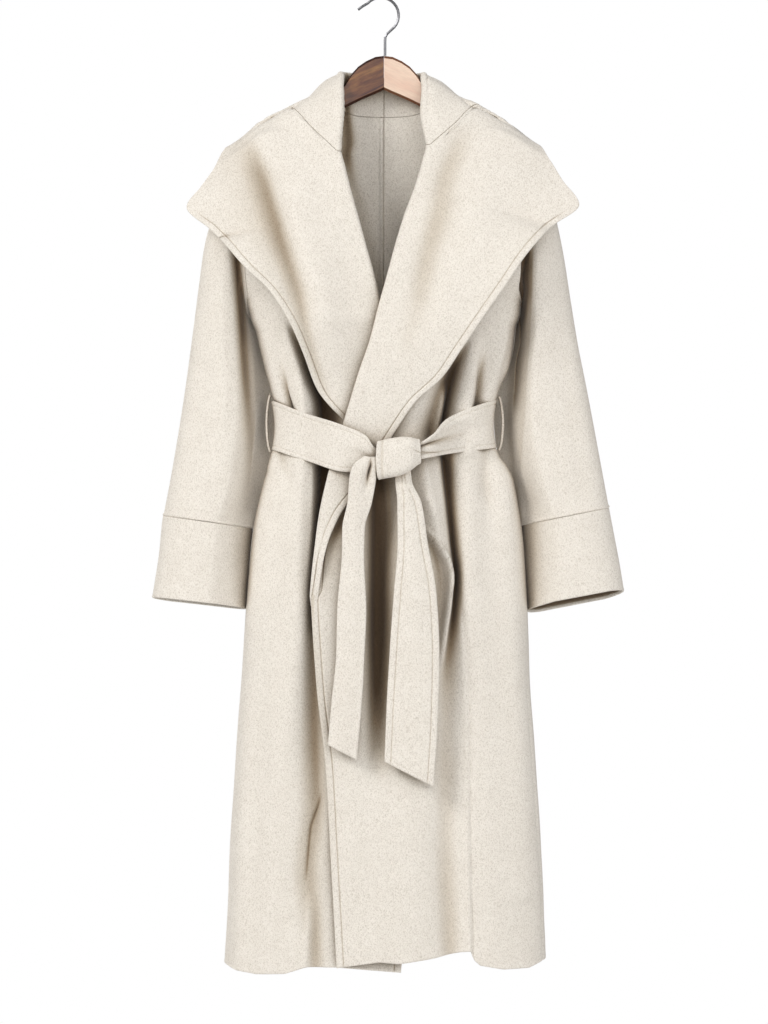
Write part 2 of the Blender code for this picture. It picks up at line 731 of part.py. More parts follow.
KNOT = table("x top bottom front back", [
    (-4, -619, -676, -107, -86), (14, -616, -671, -110, -86),
    (34, -615, -664, -110, -86), (54, -616, -651, -107, -86),
])


def knot():
    """The wrap of the knot: a flat ring of belt round both ends."""
    def surface(v, s):
        x, top, bottom, near, far = (row_at(KNOT, c, v) for c in ("x", "top", "bottom", "front", "back"))
        ca, sa = math.cos(2 * math.pi * s), math.sin(2 * math.pi * s)
        z = (top + bottom) / 2 + ((top - bottom) / 2 - BELT_THICK / 2) * math.copysign(abs(ca) ** 0.5, ca)
        return Vector((x, (near + far) / 2 - (far - near) / 2 * math.copysign(abs(sa) ** 0.5, sa), z))
    return surface


def belt_loop(side_x, bulge_x, top, bottom):
    """Strap sewn to the side seam above and below the belt."""
    def surface(v, s):
        x = side_x + (bulge_x - side_x) * math.sin(math.pi * min(max(v, 0), 1)) ** 0.6
        return Vector((x, WIDEST - 5 + 10 * s, top + (bottom - top) * v))
    return surface


# ------------------------------------------------------------------ hanger
def wing(name, sign, colour):
    bm = bmesh.new()
    rings = []
    for d, top, bottom in zip(WING["d"], WING["top"], WING["bottom"]):
        x = CENTRE + sign * max(d, 0.15)
        y0 = ridge_y(x)
        half = WING_THICK / 2 * (1.0 if d < 180 else 0.7)
        soft = min(3.5, (top - bottom) / 3)
        ring = []
        for dy, z in ((-half + 3, top), (half - 3, top), (half, top - soft), (half, bottom + soft),
                      (half - 3, bottom), (-half + 3, bottom), (-half, bottom + soft), (-half, top - soft)):
            ring.append(bm.verts.new(Vector((x, y0 + dy, z)) * MM))
        rings.append(ring)
    for a, b in zip(rings, rings[1:]):
        for k in range(8):
            m = (k + 1) % 8
            bm.faces.new((a[k], a[m], b[m], b[k]))
    bm.faces.new(rings[0])
    bm.faces.new(rings[-1])
    return finish(name, bm, colour, 0.45)


def hook():
    """Bent wire: an open hook over the crown, a kink and a straight stem."""
    centre = Vector((0.0, 0.0, -(HOOK_RADIUS - WIRE / 2)))
    pts = [Vector((-32.0, 0, -15.3)), Vector((-26.5, 0, -11.0))]
    for degrees in range(138, -56, -12):
        a = math.radians(degrees)
        pts.append(centre + Vector((math.cos(a), 0, math.sin(a))) * HOOK_RADIUS)
    pts += [Vector((8.5, 0, -49.2)), Vector((6.2, 0, -53.5)), Vector((5.9, 0, -60)), Vector((5.9, 0, -79.4))]
    data = bpy.data.curves.new("hanger_hook", "CURVE")
    data.dimensions = "3D"
    data.bevel_depth = WIRE / 2 * MM
    data.bevel_resolution = 2
    data.use_fill_caps = True
    line = data.splines.new("POLY")
    line.points.add(len(pts) - 1)
    for point, p in zip(line.points, pts):
        point.co = (*(p * MM), 1.0)
    obj = bpy.data.objects.new("hanger_hook", data)
    bpy.context.scene.collection.objects.link(obj)
    material = bpy.data.materials.new("hanger_hook_material")
    material.use_nodes = True
    shader = material.node_tree.nodes["Principled BSDF"]
    shader.inputs["Base Color"].default_value = (0.75, 0.75, 0.77, 1.0)
    shader.inputs["Roughness"].default_value = 0.15
    shader.inputs["Metallic"].default_value = 1.0
    data.materials.append(material)
    return obj


# ---------------------------------------------------------------- the coat
G = SEAM


def panel_stations(count):
    """The table's rows; the shoulder's tip lies just inside the shoulder seam."""
    return [k / count + (0.001 if k == count - 3 else 0.0) for k in range(count + 1)]


def shoulder_trim(row):
    """More room at the shoulder's tip, where front, back and sleeve meet."""
    return {-5: 0.9, -4: 1.3, -3: 0.6, -2: 0.4}.get(row, G)


def neck_trim(row):
    """More room at the neck, where the roll line ends at the gorge seam."""
    return 0.7 if row >= -5 else G


GORGE_FOLD = 3 / 13
lapel_left = lapel(LAPEL_LEFT, 1, True, GORGE_FOLD)
lapel_right = lapel(LAPEL_RIGHT, -1, False, GORGE_FOLD)
wall("back_left", back(1), panel_stations(19), 8, trim=(0, G, shoulder_trim, G))
wall("back_right", back(-1), panel_stations(19), 8, trim=(0, G, shoulder_trim, G))
wall("front_left", front(FRONT_LEFT, 1, True, LAPEL_LEFT), panel_stations(20), 8, trim=(0, 3 * G, shoulder_trim, neck_trim))
wall("front_right", front(FRONT_RIGHT, -1, False, LAPEL_RIGHT), panel_stations(20), 8, trim=(0, 3 * G, shoulder_trim, neck_trim))
wall("lapel_left", lapel_left, lapel_stations(LAPEL_LEFT, FRONT_LEFT), 13, trim=(0, 3 * G, neck_trim, 0))
wall("lapel_right", lapel_right, lapel_stations(LAPEL_RIGHT, FRONT_RIGHT), 13, trim=(0, 3 * G, neck_trim, 0))
wall("collar_left", collar(COLLAR_LEFT, 2 / 15, 5 / 15, lapel_left), 9, 15, trim=(G, 3 * G, 2.2, 0))
wall("collar_right", collar(COLLAR_RIGHT, 2 / 15, 5 / 15, lapel_right), 9, 15, trim=(G, 3 * G, 2.2, 0))
wall("sleeve_left", tube(SLEEVE_LEFT, 1, armhole(1)), 10, 18, loop=True, trim=(G, G, 0, 0))
wall("sleeve_right", tube(SLEEVE_RIGHT, -1, armhole(-1)), 10, 18, loop=True, trim=(G, G, 0, 0))
wall("cuff_left", tube(CUFF_LEFT, 1), 3, 18, loop=True, trim=(G, 0, 0, 0))
wall("cuff_right", tube(CUFF_RIGHT, -1), 3, 18, loop=True, trim=(G, 0, 0, 0))
wall("belt_band", belt_band(), 50, 2, BELT_THICK)
wall("belt_knot", knot(), 3, 16, BELT_THICK, loop=True)
wall("belt_tail_left", strip(TAIL_LEFT, TAIL_SLANT_LEFT), 9, 3, BELT_THICK)
wall("belt_tail_right", strip(TAIL_RIGHT, TAIL_SLANT_RIGHT), 9, 3, BELT_THICK)
wall("belt_loop_left", belt_loop(168, 174, -557, -632), 6, 1)
wall("belt_loop_right", belt_loop(-159.5, -164.5, -555, -634), 6, 1)
wing("hanger_wing_left", 1, (0.55, 0.33, 0.18))
wing("hanger_wing_right", -1, (0.42, 0.22, 0.11))
hook()
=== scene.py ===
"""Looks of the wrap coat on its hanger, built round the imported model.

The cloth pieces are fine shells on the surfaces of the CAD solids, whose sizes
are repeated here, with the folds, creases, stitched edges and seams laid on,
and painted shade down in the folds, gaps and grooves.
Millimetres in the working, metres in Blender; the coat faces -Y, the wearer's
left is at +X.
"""
import math

import bpy
import numpy as np
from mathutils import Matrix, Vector


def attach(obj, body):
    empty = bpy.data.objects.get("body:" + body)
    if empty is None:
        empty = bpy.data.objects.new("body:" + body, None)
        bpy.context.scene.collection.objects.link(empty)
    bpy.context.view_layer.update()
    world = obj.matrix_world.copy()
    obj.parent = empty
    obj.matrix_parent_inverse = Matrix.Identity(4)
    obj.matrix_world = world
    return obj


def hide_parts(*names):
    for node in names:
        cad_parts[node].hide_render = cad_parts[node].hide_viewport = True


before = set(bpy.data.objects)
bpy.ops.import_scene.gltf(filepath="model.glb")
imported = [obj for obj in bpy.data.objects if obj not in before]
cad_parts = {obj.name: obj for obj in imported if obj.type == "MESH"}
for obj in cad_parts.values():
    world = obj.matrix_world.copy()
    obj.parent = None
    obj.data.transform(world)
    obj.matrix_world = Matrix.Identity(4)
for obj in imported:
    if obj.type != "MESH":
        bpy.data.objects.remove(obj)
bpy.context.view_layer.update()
MM = 0.001

# ---------------------------------------------------------------- sizes (mm)
CLOTH = 2.6            # thickness of the double-faced wool
SEAM = 0.17            # each sewn edge stops this far short of its seam line
CENTRE = 4.5           # x of the coat's centre line
ROLL = 4.0             # radius of the folded edge of a lapel or the collar
SHOULDER_DROP = 170.0  # height over which the chest rounds up to the shoulder
SHOULDER_ROUND = 2.0   # exponent of that rounding
WIDEST = -8.0          # y of the side seams
SIDE_ROUND = 2.8       # exponent of the body's oval
SWEEP = 16.0           # the hanger's wings bend forward this far at the tip
WING_REACH = 192.0     # centre of the hanger to a wing tip
WING_THICK = 12.0
WIRE = 3.8             # thickness of the hook's wire
HOOK_RADIUS = 25.0
BELT_THICK = 3.6
STAND_OFF_TOP = 15.0   # the upper front lies this far over the body's oval
SLEEVE_ROUND = 2.3


def table(columns, rows):
    """Rows of numbers under named columns."""
    names = columns.split()
    return {name: np.array([float(row[k]) for row in rows]) for k, name in enumerate(names)}


# Body at each height: outer x on both sides, and how far the front and the
# back stand from the side seams' plane.
BODY = table("z left right front back", [
    (-1362, -217, 231, 64, 58),
    (-1215, -210, 225, 63, 57),
    (-1100, -203, 218, 62, 56),
    (-978, -195, 209, 60, 54),
    (-845, -187, 203, 58, 52),
    (-742, -178, 195, 54, 50),
    (-675, -163, 182, 49, 48),
    (-640, -150, 160, 44, 45),
    (-600, -146, 152, 42, 43),
    (-555, -150, 160, 44, 45),
    (-515, -162, 180, 48, 48),
    (-466, -174, 188, 52, 50),
    (-426, -181, 190, 54, 51),
    (-390, -206, 215, 54, 50),
    (-350, -222, 231, 51, 48),
    (-300, -228, 237, 47, 46),
    (-214, -230, 239, 39, 39),
    (-110, -230, 239, 30, 26),
])

# Ridge of the shoulder: distance from the centre line against height.
RIDGE = table("d z", [
    (0, -79), (40, -101), (64, -117), (82, -127.5), (107, -144.5), (131, -159),
    (155, -175.5), (180, -191), (190, -198), (201, -207), (230, -246),
])

# Hanger wing, from its mitre outwards: top and bottom edge.
WING = table("d top bottom", [
    (0, -80, -127.5), (12, -81.5, -133), (25, -87.5, -138.5), (36, -95, -143.5),
    (45, -105, -148), (55, -120, -153), (64, -125, -157), (82, -135, -166),
    (107, -151.5, -181), (131, -166, -194), (155, -182.5, -207), (172, -193, -215),
    (184, -202, -219), (WING_REACH, -208, -216),
])

# Edge of a front panel that runs from the side seam, up the armhole and in
# along the shoulder seam to the neck ("side" is the share of the half width),
# against the other edge: free edge below, roll line above.
FRONT_LEFT = table("side side_z edge_x edge_z", [
    (1, -1350, -61, -1348),
    (1, -1205, -69, -1205),
    (1, -1065, -77, -1065),
    (1, -960, -89, -960),
    (1, -826, -97, -826),
    (1, -760, -91, -760),
    (1, -680, -78, -680),
    (1, -640, -66, -640),
    (1, -600, -54, -600),
    (1, -552, -39, -552),
    (1, -500, -22, -500),
    (1, -455, -6, -448),
    (1, -426, 8, -402),
    (0.906, -390, 20, -362),
    (0.846, -345, 31, -326),
    (0.838, -280, 41, -294),
    (0.852, -236, 49, -268),
    (0.862, -207, 54, -247),
    (0.62, -165, 59, -230),
    (0.45, -141, 61, -219),
    (0.328, -124, 63, -208),
])
FRONT_RIGHT = table("side side_z edge_x edge_z", [
    (1, -1352, 28, -1356),
    (1, -1205, 42, -1205),
    (1, -1065, 55, -1065),
    (1, -960, 64, -960),
    (1, -842, 70, -842),
    (1, -760, 66, -760),
    (1, -680, 59, -680),
    (1, -640, 53, -640),
    (1, -600, 47, -600),
    (1, -552, 36, -552),
    (1, -500, 21, -500),
    (1, -455, 8, -445),
    (1, -426, -4, -402),
    (0.906, -390, -16, -361),
    (0.846, -345, -26, -325),
    (0.838, -280, -36, -290),
    (0.852, -236, -43, -265),
    (0.862, -207, -48, -247),
    (0.62, -165, -51, -233),
    (0.45, -141, -53, -225),
    (0.328, -124, -55, -217),
])

# Back panels: the same outer edge against the centre-back seam.
BACK = table("side side_z centre_z bow", [
    (1, -1350, -1352, 0),
    (1, -1205, -1205, 0),
    (1, -1065, -1065, 0),
    (1, -930, -930, 0),
    (1, -800, -800, 0),
    (1, -700, -700, 0),
    (1, -640, -640, 0),
    (1, -600, -598, 0),
    (1, -560, -552, 0),
    (1, -520, -505, 0),
    (1, -475, -460, 0),
    (1, -426, -410, 0),
    (0.906, -390, -370, 0),
    (0.846, -345, -330, 0),
    (0.838, -280, -285, 0),
    (0.852, -236, -250, 0),
    (0.862, -207, -220, 4),
    (0.62, -165, -190, 12),
    (0.45, -141, -176, 17),
    (0.328, -124, -164, 20),
])

# Lapels, a row for each section from the lower end up to the gorge seam:
# where the roll line is, a point half way, and the free edge.  "face" is -1
# on the front, 0 on the shoulder's ridge and 1 on the back, and "lift" is how
# far the point stands off the body's oval there.
LAPEL_LEFT = table("roll_x roll_z mid_x mid_z mid_face mid_lift edge_x edge_z edge_face edge_lift", [
    (-97, -826, -91, -826, -1, 24, -85, -826, -1, 25),
    (-94, -785, -87, -784, -1, 24, -79, -781, -1, 25),
    (-85, -722, -72, -724, -1, 23, -58, -726, -1, 23),
    (-75, -671, -49, -672, -1, 23, -20, -672, -1, 23),
    (-54, -600, -16, -601, -1, 23, 22, -604, -1, 23),
    (-44, -566, 2, -562, -1, 24, 48, -566, -1, 26),
    (-30, -521, 26, -514, -1, 28, 86, -531, -1, 32),
    (-15, -478, 48, -470, -1, 30, 112, -493, -1, 40),
    (0, -421, 76, -422, -1, 28, 146, -443, -1, 46),
    (16, -364, 94, -372, -1, 22, 174, -403, -1, 50),
    (32, -305, 113, -322, -1, 18, 202, -362, -1, 50),
    (41, -282, 133, -291, -1, 14, 238, -322, -1, 46),
    (49, -260, 147, -257, -1, 12, 276, -291, -1, 36),
    (55, -240, 150, -220, -1, 10, 254, -258, -1, 24),
    (59, -225, 150, -186, -1, 10, 236, -228, -1, 14),
    (62, -216, 152, -165, 0, 2, 216, -204, 0, 8),
    (63, -208, 134, -149, 0, 2, 176, -246, 1, 8),
])
LAPEL_RIGHT = table("roll_x roll_z mid_x mid_z mid_face mid_lift edge_x edge_z edge_face edge_lift", [
    (52, -640, 18, -628, -1, 8, -20, -616, -1, 8),
    (47, -600, 0, -594, -1, 8, -48, -594, -1, 8),
    (36, -552, -38, -551, -1, 8, -88, -549, -1, 15),
    (21, -500, -22, -500, -1, 8, -107, -500, -1, 30),
    (4, -444, -14, -446, -1, 9, -127, -454, -1, 44),
    (-8, -392, -78, -400, -1, 20, -157, -409, -1, 48),
    (-20, -348, -98, -356, -1, 18, -188, -380, -1, 50),
    (-30, -311, -118, -322, -1, 16, -219, -344, -1, 48),
    (-38, -284, -132, -292, -1, 14, -238, -325, -1, 44),
    (-44, -262, -140, -258, -1, 12, -270, -295, -1, 36),
    (-48, -246, -146, -222, -1, 10, -252, -268, -1, 24),
    (-51, -233, -144, -188, -1, 10, -234, -242, -1, 14),
    (-53, -225, -147, -167, 0, 2, -212, -208, 0, 8),
    (-55, -217, -127, -153, 0, 2, -170, -250, 1, 8),
])

# Collar halves from centre back to the gorge seam: neck seam, crest of the
# roll, which way the fall faces there (degrees, 90 is straight back), a point
# half way down the fall, and the free edge.
COLLAR_LEFT = table("seam_x seam_y seam_z roll_x roll_y roll_z turn mid_x mid_y mid_z edge_x edge_y edge_z", [
    (4.5, 27, -164, 4.5, 24, -107, 90, 4.5, 48, -190, 4.5, 56, -300),
    (32, 26, -163, 30, 23, -106, 80, 42, 48, -188, 60, 56, -298),
    (57, 21, -158, 50, 16, -103, 55, 76, 42, -172, 112, 53, -290),
    (79, 2, -120, 60, 3, -102, 10, 98, 14, -132, 146, 48, -276),
    (78.5, -19, -139, 60, -14, -117, -30, 112, 4, -139, 164, 43, -262),
    (72.5, -31, -178, 54, -32, -158, -65, 124, -1, -143, 172, 41, -252),
    (68.5, -39, -204, 59, -43, -198, -90, 134, -2, -148, 176, 40, -246),
])
COLLAR_RIGHT = table("seam_x seam_y seam_z roll_x roll_y roll_z turn mid_x mid_y mid_z edge_x edge_y edge_z", [
    (4.5, 27, -164, 4.5, 24, -107, 90, 4.5, 48, -190, 4.5, 56, -300),
    (-23, 26, -163, -21, 23, -106, 100, -33, 48, -188, -51, 56, -298),
    (-48, 21, -158, -42, 16, -102, 125, -67, 42, -172, -103, 53, -290),
    (-70, 2, -120, -56, 3, -101, 170, -90, 14, -131, -137, 48, -278),
    (-70, -19, -139, -55, -14, -110, 210, -103, 4, -140, -155, 43, -266),
    (-65, -31, -180, -49, -32, -158, 245, -116, -1, -146, -164, 41, -256),
    (-60.5, -39, -212, -49, -43, -205, 270, -127, -2, -152, -170, 40, -250),
])

# Sleeves below the armhole: outer and inner point of each section, and how
# far its front and back stand from its middle plane.
SLEEVE_RIGHT = table("out_x out_z in_x in_z y deep tuck", [
    (-215, -242, -186, -433, -4, 36, 0),
    (-230, -290, -183, -448, -4, 36, 10),
    (-246, -345, -173, -464, -4, 35, 26),
    (-254, -400, -163, -492, -4, 34, 30),
    (-261, -454, -153, -530, -4, 34, 33),
    (-275, -556, -149, -588, -5, 34, 34),
    (-294, -672, -160, -684, -8, 34, 32),
    (-304, -724, -179, -742, -10, 34, 16),
])
SLEEVE_LEFT = table("out_x out_z in_x in_z y deep tuck", [
    (224, -240, 195, -433, -4, 36, 0),
    (240, -290, 191, -447, -4, 36, 10),
    (254, -352, 181, -464, -4, 35, 26),
    (266, -426, 174, -494, -4, 34, 31),
    (275, -480, 163, -530, -4, 34, 35),
    (290, -556, 159, -596, -5, 34, 36),
    (310, -664, 177, -690, -8, 34, 31),
    (319, -713, 196, -738, -10, 34, 16),
])
CUFF_RIGHT = table("out_x out_z in_x in_z y deep tuck", [
    (-304.5, -723.4, -179, -741.4, -10, 36, 16),
    (-311, -781, -183, -800, -12, 37, 14),
    (-320, -838, -187, -853, -14, 38, 10),
])
CUFF_LEFT = table("out_x out_z in_x in_z y deep tuck", [
    (319.5, -712.4, 196, -737.4, -10, 36, 16),
    (330, -773, 199.5, -797, -12, 37, 14),
    (340, -829, 204, -855, -14, 38, 10),
])

# Front of the belt, from the wearer's right side over the knot to the left.
BELT_RIGHT = table("x top bottom", [
    (-152, -563, -632), (-98, -583, -649), (-50, -599, -663), (-20, -613, -664),
    (-8, -629, -662), (8, -634, -656),
])
BELT_LEFT = table("x top bottom", [
    (40, -628, -648), (58, -621, -645), (93, -588, -638), (121, -574, -634),
    (160, -560, -629),
])

# Hanging ends of the belt: both edges at each height.
TAIL_RIGHT = table("z left right y", [
    (-669, -42, -9, -86), (-705, -46, -13, -93), (-740, -53, -23, -96),
    (-780, -54, -23, -97), (-850, -60, -20, -97), (-920, -62, -23, -97),
    (-980, -68, -27, -98), (-1040, -73, -33, -99),
])
TAIL_LEFT = table("z left right y", [
    (-676, 20, 43, -88), (-705, 23, 56, -94), (-760, 23, 65, -97),
    (-830, 18, 77, -98), (-900, 13, 81, -98), (-985, 8, 79, -98),
    (-1063, 5, 73, -99),
])
TAIL_SLANT_RIGHT = 21.0   # the end cut falls this much across the width
TAIL_SLANT_LEFT = 35.0


# ------------------------------------------------------------------- curves
def shaped(d, like):
    return d.reshape((-1,) + (1,) * (like.ndim - 1))


def slopes(xs, ys):
    """Slopes of the curve through the points that never overshoots."""
    d = np.diff(xs)
    r = np.diff(ys, axis=0) / shaped(d, ys)
    m = np.empty_like(ys)
    m[0], m[-1] = r[0], r[-1]
    if len(xs) > 2:
        a, b = r[:-1], r[1:]
        wa, wb = shaped(2 * d[1:] + d[:-1], ys), shaped(d[1:] + 2 * d[:-1], ys)
        safe_a, safe_b = np.where(a == 0, 1, a), np.where(b == 0, 1, b)
        total = wa / safe_a + wb / safe_b
        m[1:-1] = np.where(a * b <= 0, 0, (wa + wb) / np.where(total == 0, 1, total))
    return m


def curve(xs, ys, x):
    xs, ys = np.asarray(xs, float), np.asarray(ys, float)
    if xs[0] > xs[-1]:
        xs, ys = xs[::-1], ys[::-1]
    m = slopes(xs, ys)
    x = np.clip(x, xs[0], xs[-1])
    k = np.clip(np.searchsorted(xs, x, side="right") - 1, 0, len(xs) - 2)
    h = xs[k + 1] - xs[k]
    t = (x - xs[k]) / h
    return ((2 * t ** 3 - 3 * t ** 2 + 1) * ys[k] + (t ** 3 - 2 * t ** 2 + t) * h * m[k]
            + (-2 * t ** 3 + 3 * t ** 2) * ys[k + 1] + (t ** 3 - t ** 2) * h * m[k + 1])


def at(rows, key, name, value):
    return curve(rows[key], rows[name], value)


def row_at(rows, name, v):
    ys = rows[name]
    return curve(np.linspace(0, 1, len(ys)), ys, v)


def vec(x, y, z):
    return np.stack(np.broadcast_arrays(x, y, z), axis=-1).astype(float)


def lerp(a, b, t):
    return a + (b - a) * np.asarray(t)[..., None]


def through(points, s):
    xs = np.array([0, 0.25, 0.5, 1.0])
    grid = np.stack(np.broadcast_arrays(*points))
    m = slopes(xs, grid)
    s = np.broadcast_to(s, grid.shape[1:-1])
    k = np.clip(np.searchsorted(xs, s, side="right") - 1, 0, 2)

    def pick(values, index):
        return np.take_along_axis(values, index[None, ..., None], axis=0)[0]
    h = (xs[k + 1] - xs[k])[..., None]
    t = (s[..., None] - xs[k][..., None]) / h
    return ((2 * t ** 3 - 3 * t ** 2 + 1) * pick(grid, k) + (t ** 3 - 2 * t ** 2 + t) * h * pick(m, k)
            + (-2 * t ** 3 + 3 * t ** 2) * pick(grid, k + 1) + (t ** 3 - t ** 2) * h * pick(m, k + 1))


def ease(t):
    t = np.clip(t, 0.0, 1.0)
    return t * t * (3 - 2 * t)


def unit(v):
    return v / np.maximum(np.linalg.norm(v, axis=-1, keepdims=True), 1e-9)


# --------------------------------------------------------------- body's oval
def ridge_y(x):
    return -SWEEP * np.minimum(np.abs(x - CENTRE) / 205.0, 1.1) ** 2


def half_width(z):
    lo, hi = at(BODY, "z", "left", z), at(BODY, "z", "right", z)
    return (lo + hi) / 2, (hi - lo) / 2 - CLOTH / 2


def body_y(x, z, face):
    middle, half = half_width(z)
    xi = np.minimum(np.abs(x - middle) / half, 1.0)
    side = (1 - xi ** SIDE_ROUND) ** (1 / SIDE_ROUND)
    rise = (at(RIDGE, "d", "z", np.abs(x - CENTRE)) - z) / SHOULDER_DROP
    q = np.clip(rise, 0.0, 1.0)
    top = (1 - (1 - q) ** SHOULDER_ROUND) ** (1 / SHOULDER_ROUND)
    depth = np.where(np.asarray(face) < 0, at(BODY, "z", "front", z), at(BODY, "z", "back", z))
    base = WIDEST * q + ridge_y(x) * (1 - q)
    return base + face * depth * side * top


def overlap(x, z):
    across = ease((125.0 - x) / 90.0)
    up = ease((-290.0 - z) / 100.0)
    low = 1.0 - 0.25 * ease((-700.0 - z) / 500.0)
    return STAND_OFF_TOP * across * up * low


def stand_off(x, z, face, lift):
    if face == 0:
        return vec(x, ridge_y(x) + lift, z)
    return vec(x, body_y(x, z, face) + face * lift, z)


def clear(point, gap, upper):
    x, y, z = point[..., 0], point[..., 1], point[..., 2]
    middle, half = half_width(z)
    xi = np.minimum(np.abs(x - middle) / half, 1.0)
    side = (1 - xi ** SIDE_ROUND) ** (1 / SIDE_ROUND)
    crest = at(RIDGE, "d", "z", np.abs(x - CENTRE))
    low = crest - SHOULDER_DROP
    q = np.clip((crest - z) / SHOULDER_DROP, 0.0, 1.0)
    base = WIDEST * q + ridge_y(x) * (1 - q)
    face = np.where(y < base, -1.0, 1.0)
    reach = np.where(face < 0, at(BODY, "z", "front", z), at(BODY, "z", "back", z)) * side + gap
    if upper:
        reach = reach + np.where(face < 0, overlap(x, z), 0)
    reach = np.maximum(reach, 1e-3)
    y_low = np.where(np.abs(y - base) < reach, base + face * reach, y)
    u, h = (y - base) / reach, (z - low) / (SHOULDER_DROP + gap)
    h = np.maximum(h, 0)
    r = np.maximum((np.abs(u) ** SHOULDER_ROUND + h ** SHOULDER_ROUND) ** (1 / SHOULDER_ROUND), 1e-3)
    y_top = np.where(r < 1, base + (y - base) / r, y)
    z_top = np.where(r < 1, low + (z - low) / r, z)
    fade = ease((228 - np.abs(x - CENTRE)) / 24)
    y_new, z_new = np.where(z <= low, y_low, y_top), np.where(z <= low, z, z_top)
    return vec(x, y + (y_new - y) * np.where(z <= low, 1.0, fade), z + (z_new - z) * np.where(z <= low, 0.0, fade))


# ------------------------------------------------------------ cloth surfaces
def outer_edge(rows, v, sign):
    z = row_at(rows, "side_z", v)
    middle, half = half_width(z)
    x = middle + sign * half * row_at(rows, "side", v)
    return x, np.where(z >= -207.0, at(RIDGE, "d", "z", np.abs(x - CENTRE)), z)


def spread(v, s):
    s = s ** 1.25
    low = ease((0.66 - v) / 0.08)
    return s + 0.35 * low * (1 - np.cos(s * math.pi / 2) - s)


def front(rows, sign, upper, folds):
    def surface(v, s):
        ax, az = outer_edge(rows, v, sign)
        ex, ez = row_at(rows, "edge_x", v), row_at(rows, "edge_z", v)
        rolled = ease((ez - folds["roll_z"][0]) / 12 + 1.0)
        ex = ex + (at(folds, "roll_z", "roll_x", ez) + sign * (ROLL + CLOTH / 2) - ex) * rolled
        share = spread(v, s)
        x, z = ax + (ex - ax) * share, az + (ez - az) * share
        y = body_y(x, z, -1)
        if upper:
            y = y - overlap(x, z)
        return vec(x, y, z)
    return surface


def back(sign):
    rows = COLLAR_LEFT if sign > 0 else COLLAR_RIGHT

    def plain(v, s):
        ax, az = outer_edge(BACK, v, sign)
        cz, bow = row_at(BACK, "centre_z", v), row_at(BACK, "bow", v)
        share = spread(v, s)
        x = ax + (CENTRE - ax) * share
        z = az + (cz - az) * share - bow * np.sin(math.pi * share)
        return vec(x, body_y(x, z, 1), z)

    def surface(v, s):
        """The top edge runs along the collar's neck seam."""
        v, s = np.broadcast_arrays(np.asarray(v, float), np.asarray(s, float))
        p, top = plain(v, s), plain(np.ones_like(v), s)
        u = np.linspace(0, 0.5, 60)
        sx, sy, sz = (row_at(rows, "seam_" + c, u) for c in "xyz")
        order = np.argsort(sx * sign)
        far = np.abs(top[..., 0] - CENTRE)
        seam_y = np.interp(far, np.abs(sx - CENTRE)[order], sy[order])
        seam_z = np.interp(far, np.abs(sx - CENTRE)[order], sz[order]) - 0.3
        w = ease((v - 0.91) / 0.09) * ease((74 - far) / 10)
        return p + vec(0 * w, (seam_y - top[..., 1]) * w, (seam_z - top[..., 2]) * w)
    return surface


def folded(apex, across, outward, radius, t):
    a = (math.pi * (np.asarray(t, float) - 0.5))[..., None]
    centre = apex - across * (radius + CLOTH / 2)
    return centre + across * (radius * np.cos(a)) + outward * (radius * np.sin(a))


def lapel(rows, sign, upper, fold):
    def surface(v, s):
        v, s = np.broadcast_arrays(np.asarray(v, float), np.asarray(s, float))
        rx, rz = row_at(rows, "roll_x", v), row_at(rows, "roll_z", v)
        under_x = rx + sign * (ROLL + CLOTH / 2)
        y = body_y(under_x, rz, -1) - (overlap(under_x, rz) if upper else 0) - ROLL
        apex = vec(rx, y, rz)
        inward, outward = np.array([-sign, 0.0, 0.0]), np.array([0.0, -1.0, 0.0])
        bend = folded(apex, inward, outward, ROLL, np.clip(s / fold, 0, 1))
        top = folded(apex, inward, outward, ROLL, np.ones_like(v))
        pts = []
        for part in ("mid_", "edge_"):
            face = row_at(rows, part + "face", v)
            x, z, lift = (row_at(rows, part + c, v) for c in ("x", "z", "lift"))
            on_front, on_ridge, on_back = (stand_off(x, z, f, lift) for f in (-1, 0, 1))
            pts.append(np.where((face <= 0)[..., None], lerp(on_front, on_ridge, np.clip(1 + face, 0, 1)),
                                lerp(on_ridge, on_back, np.clip(face, 0, 1))))
        wide = ease((np.linalg.norm(pts[0] - top, axis=-1) - 9) / 9)
        middle = lerp(lerp(top, pts[1], np.full_like(v, 0.5)), pts[0], wide)
        near = lerp(top, middle, np.full_like(v, 0.5))
        t = np.clip((s - fold) / (1 - fold), 0, 1)
        raw = through([top, near, middle, pts[1]], t)
        fall = clear(raw, 8, upper)
        # the gorge seam lies straight, as seen from the front
        flat = body_y(raw[..., 0], raw[..., 2], -1) - 8 - (overlap(raw[..., 0], raw[..., 2]) if upper else 0)
        w = ease((v - 0.90) / 0.10) * ease((0.64 - t) / 0.2)
        fall = lerp(fall, vec(raw[..., 0], flat, raw[..., 2]), w)
        return np.where((s < fold)[..., None], bend, fall)
    return surface


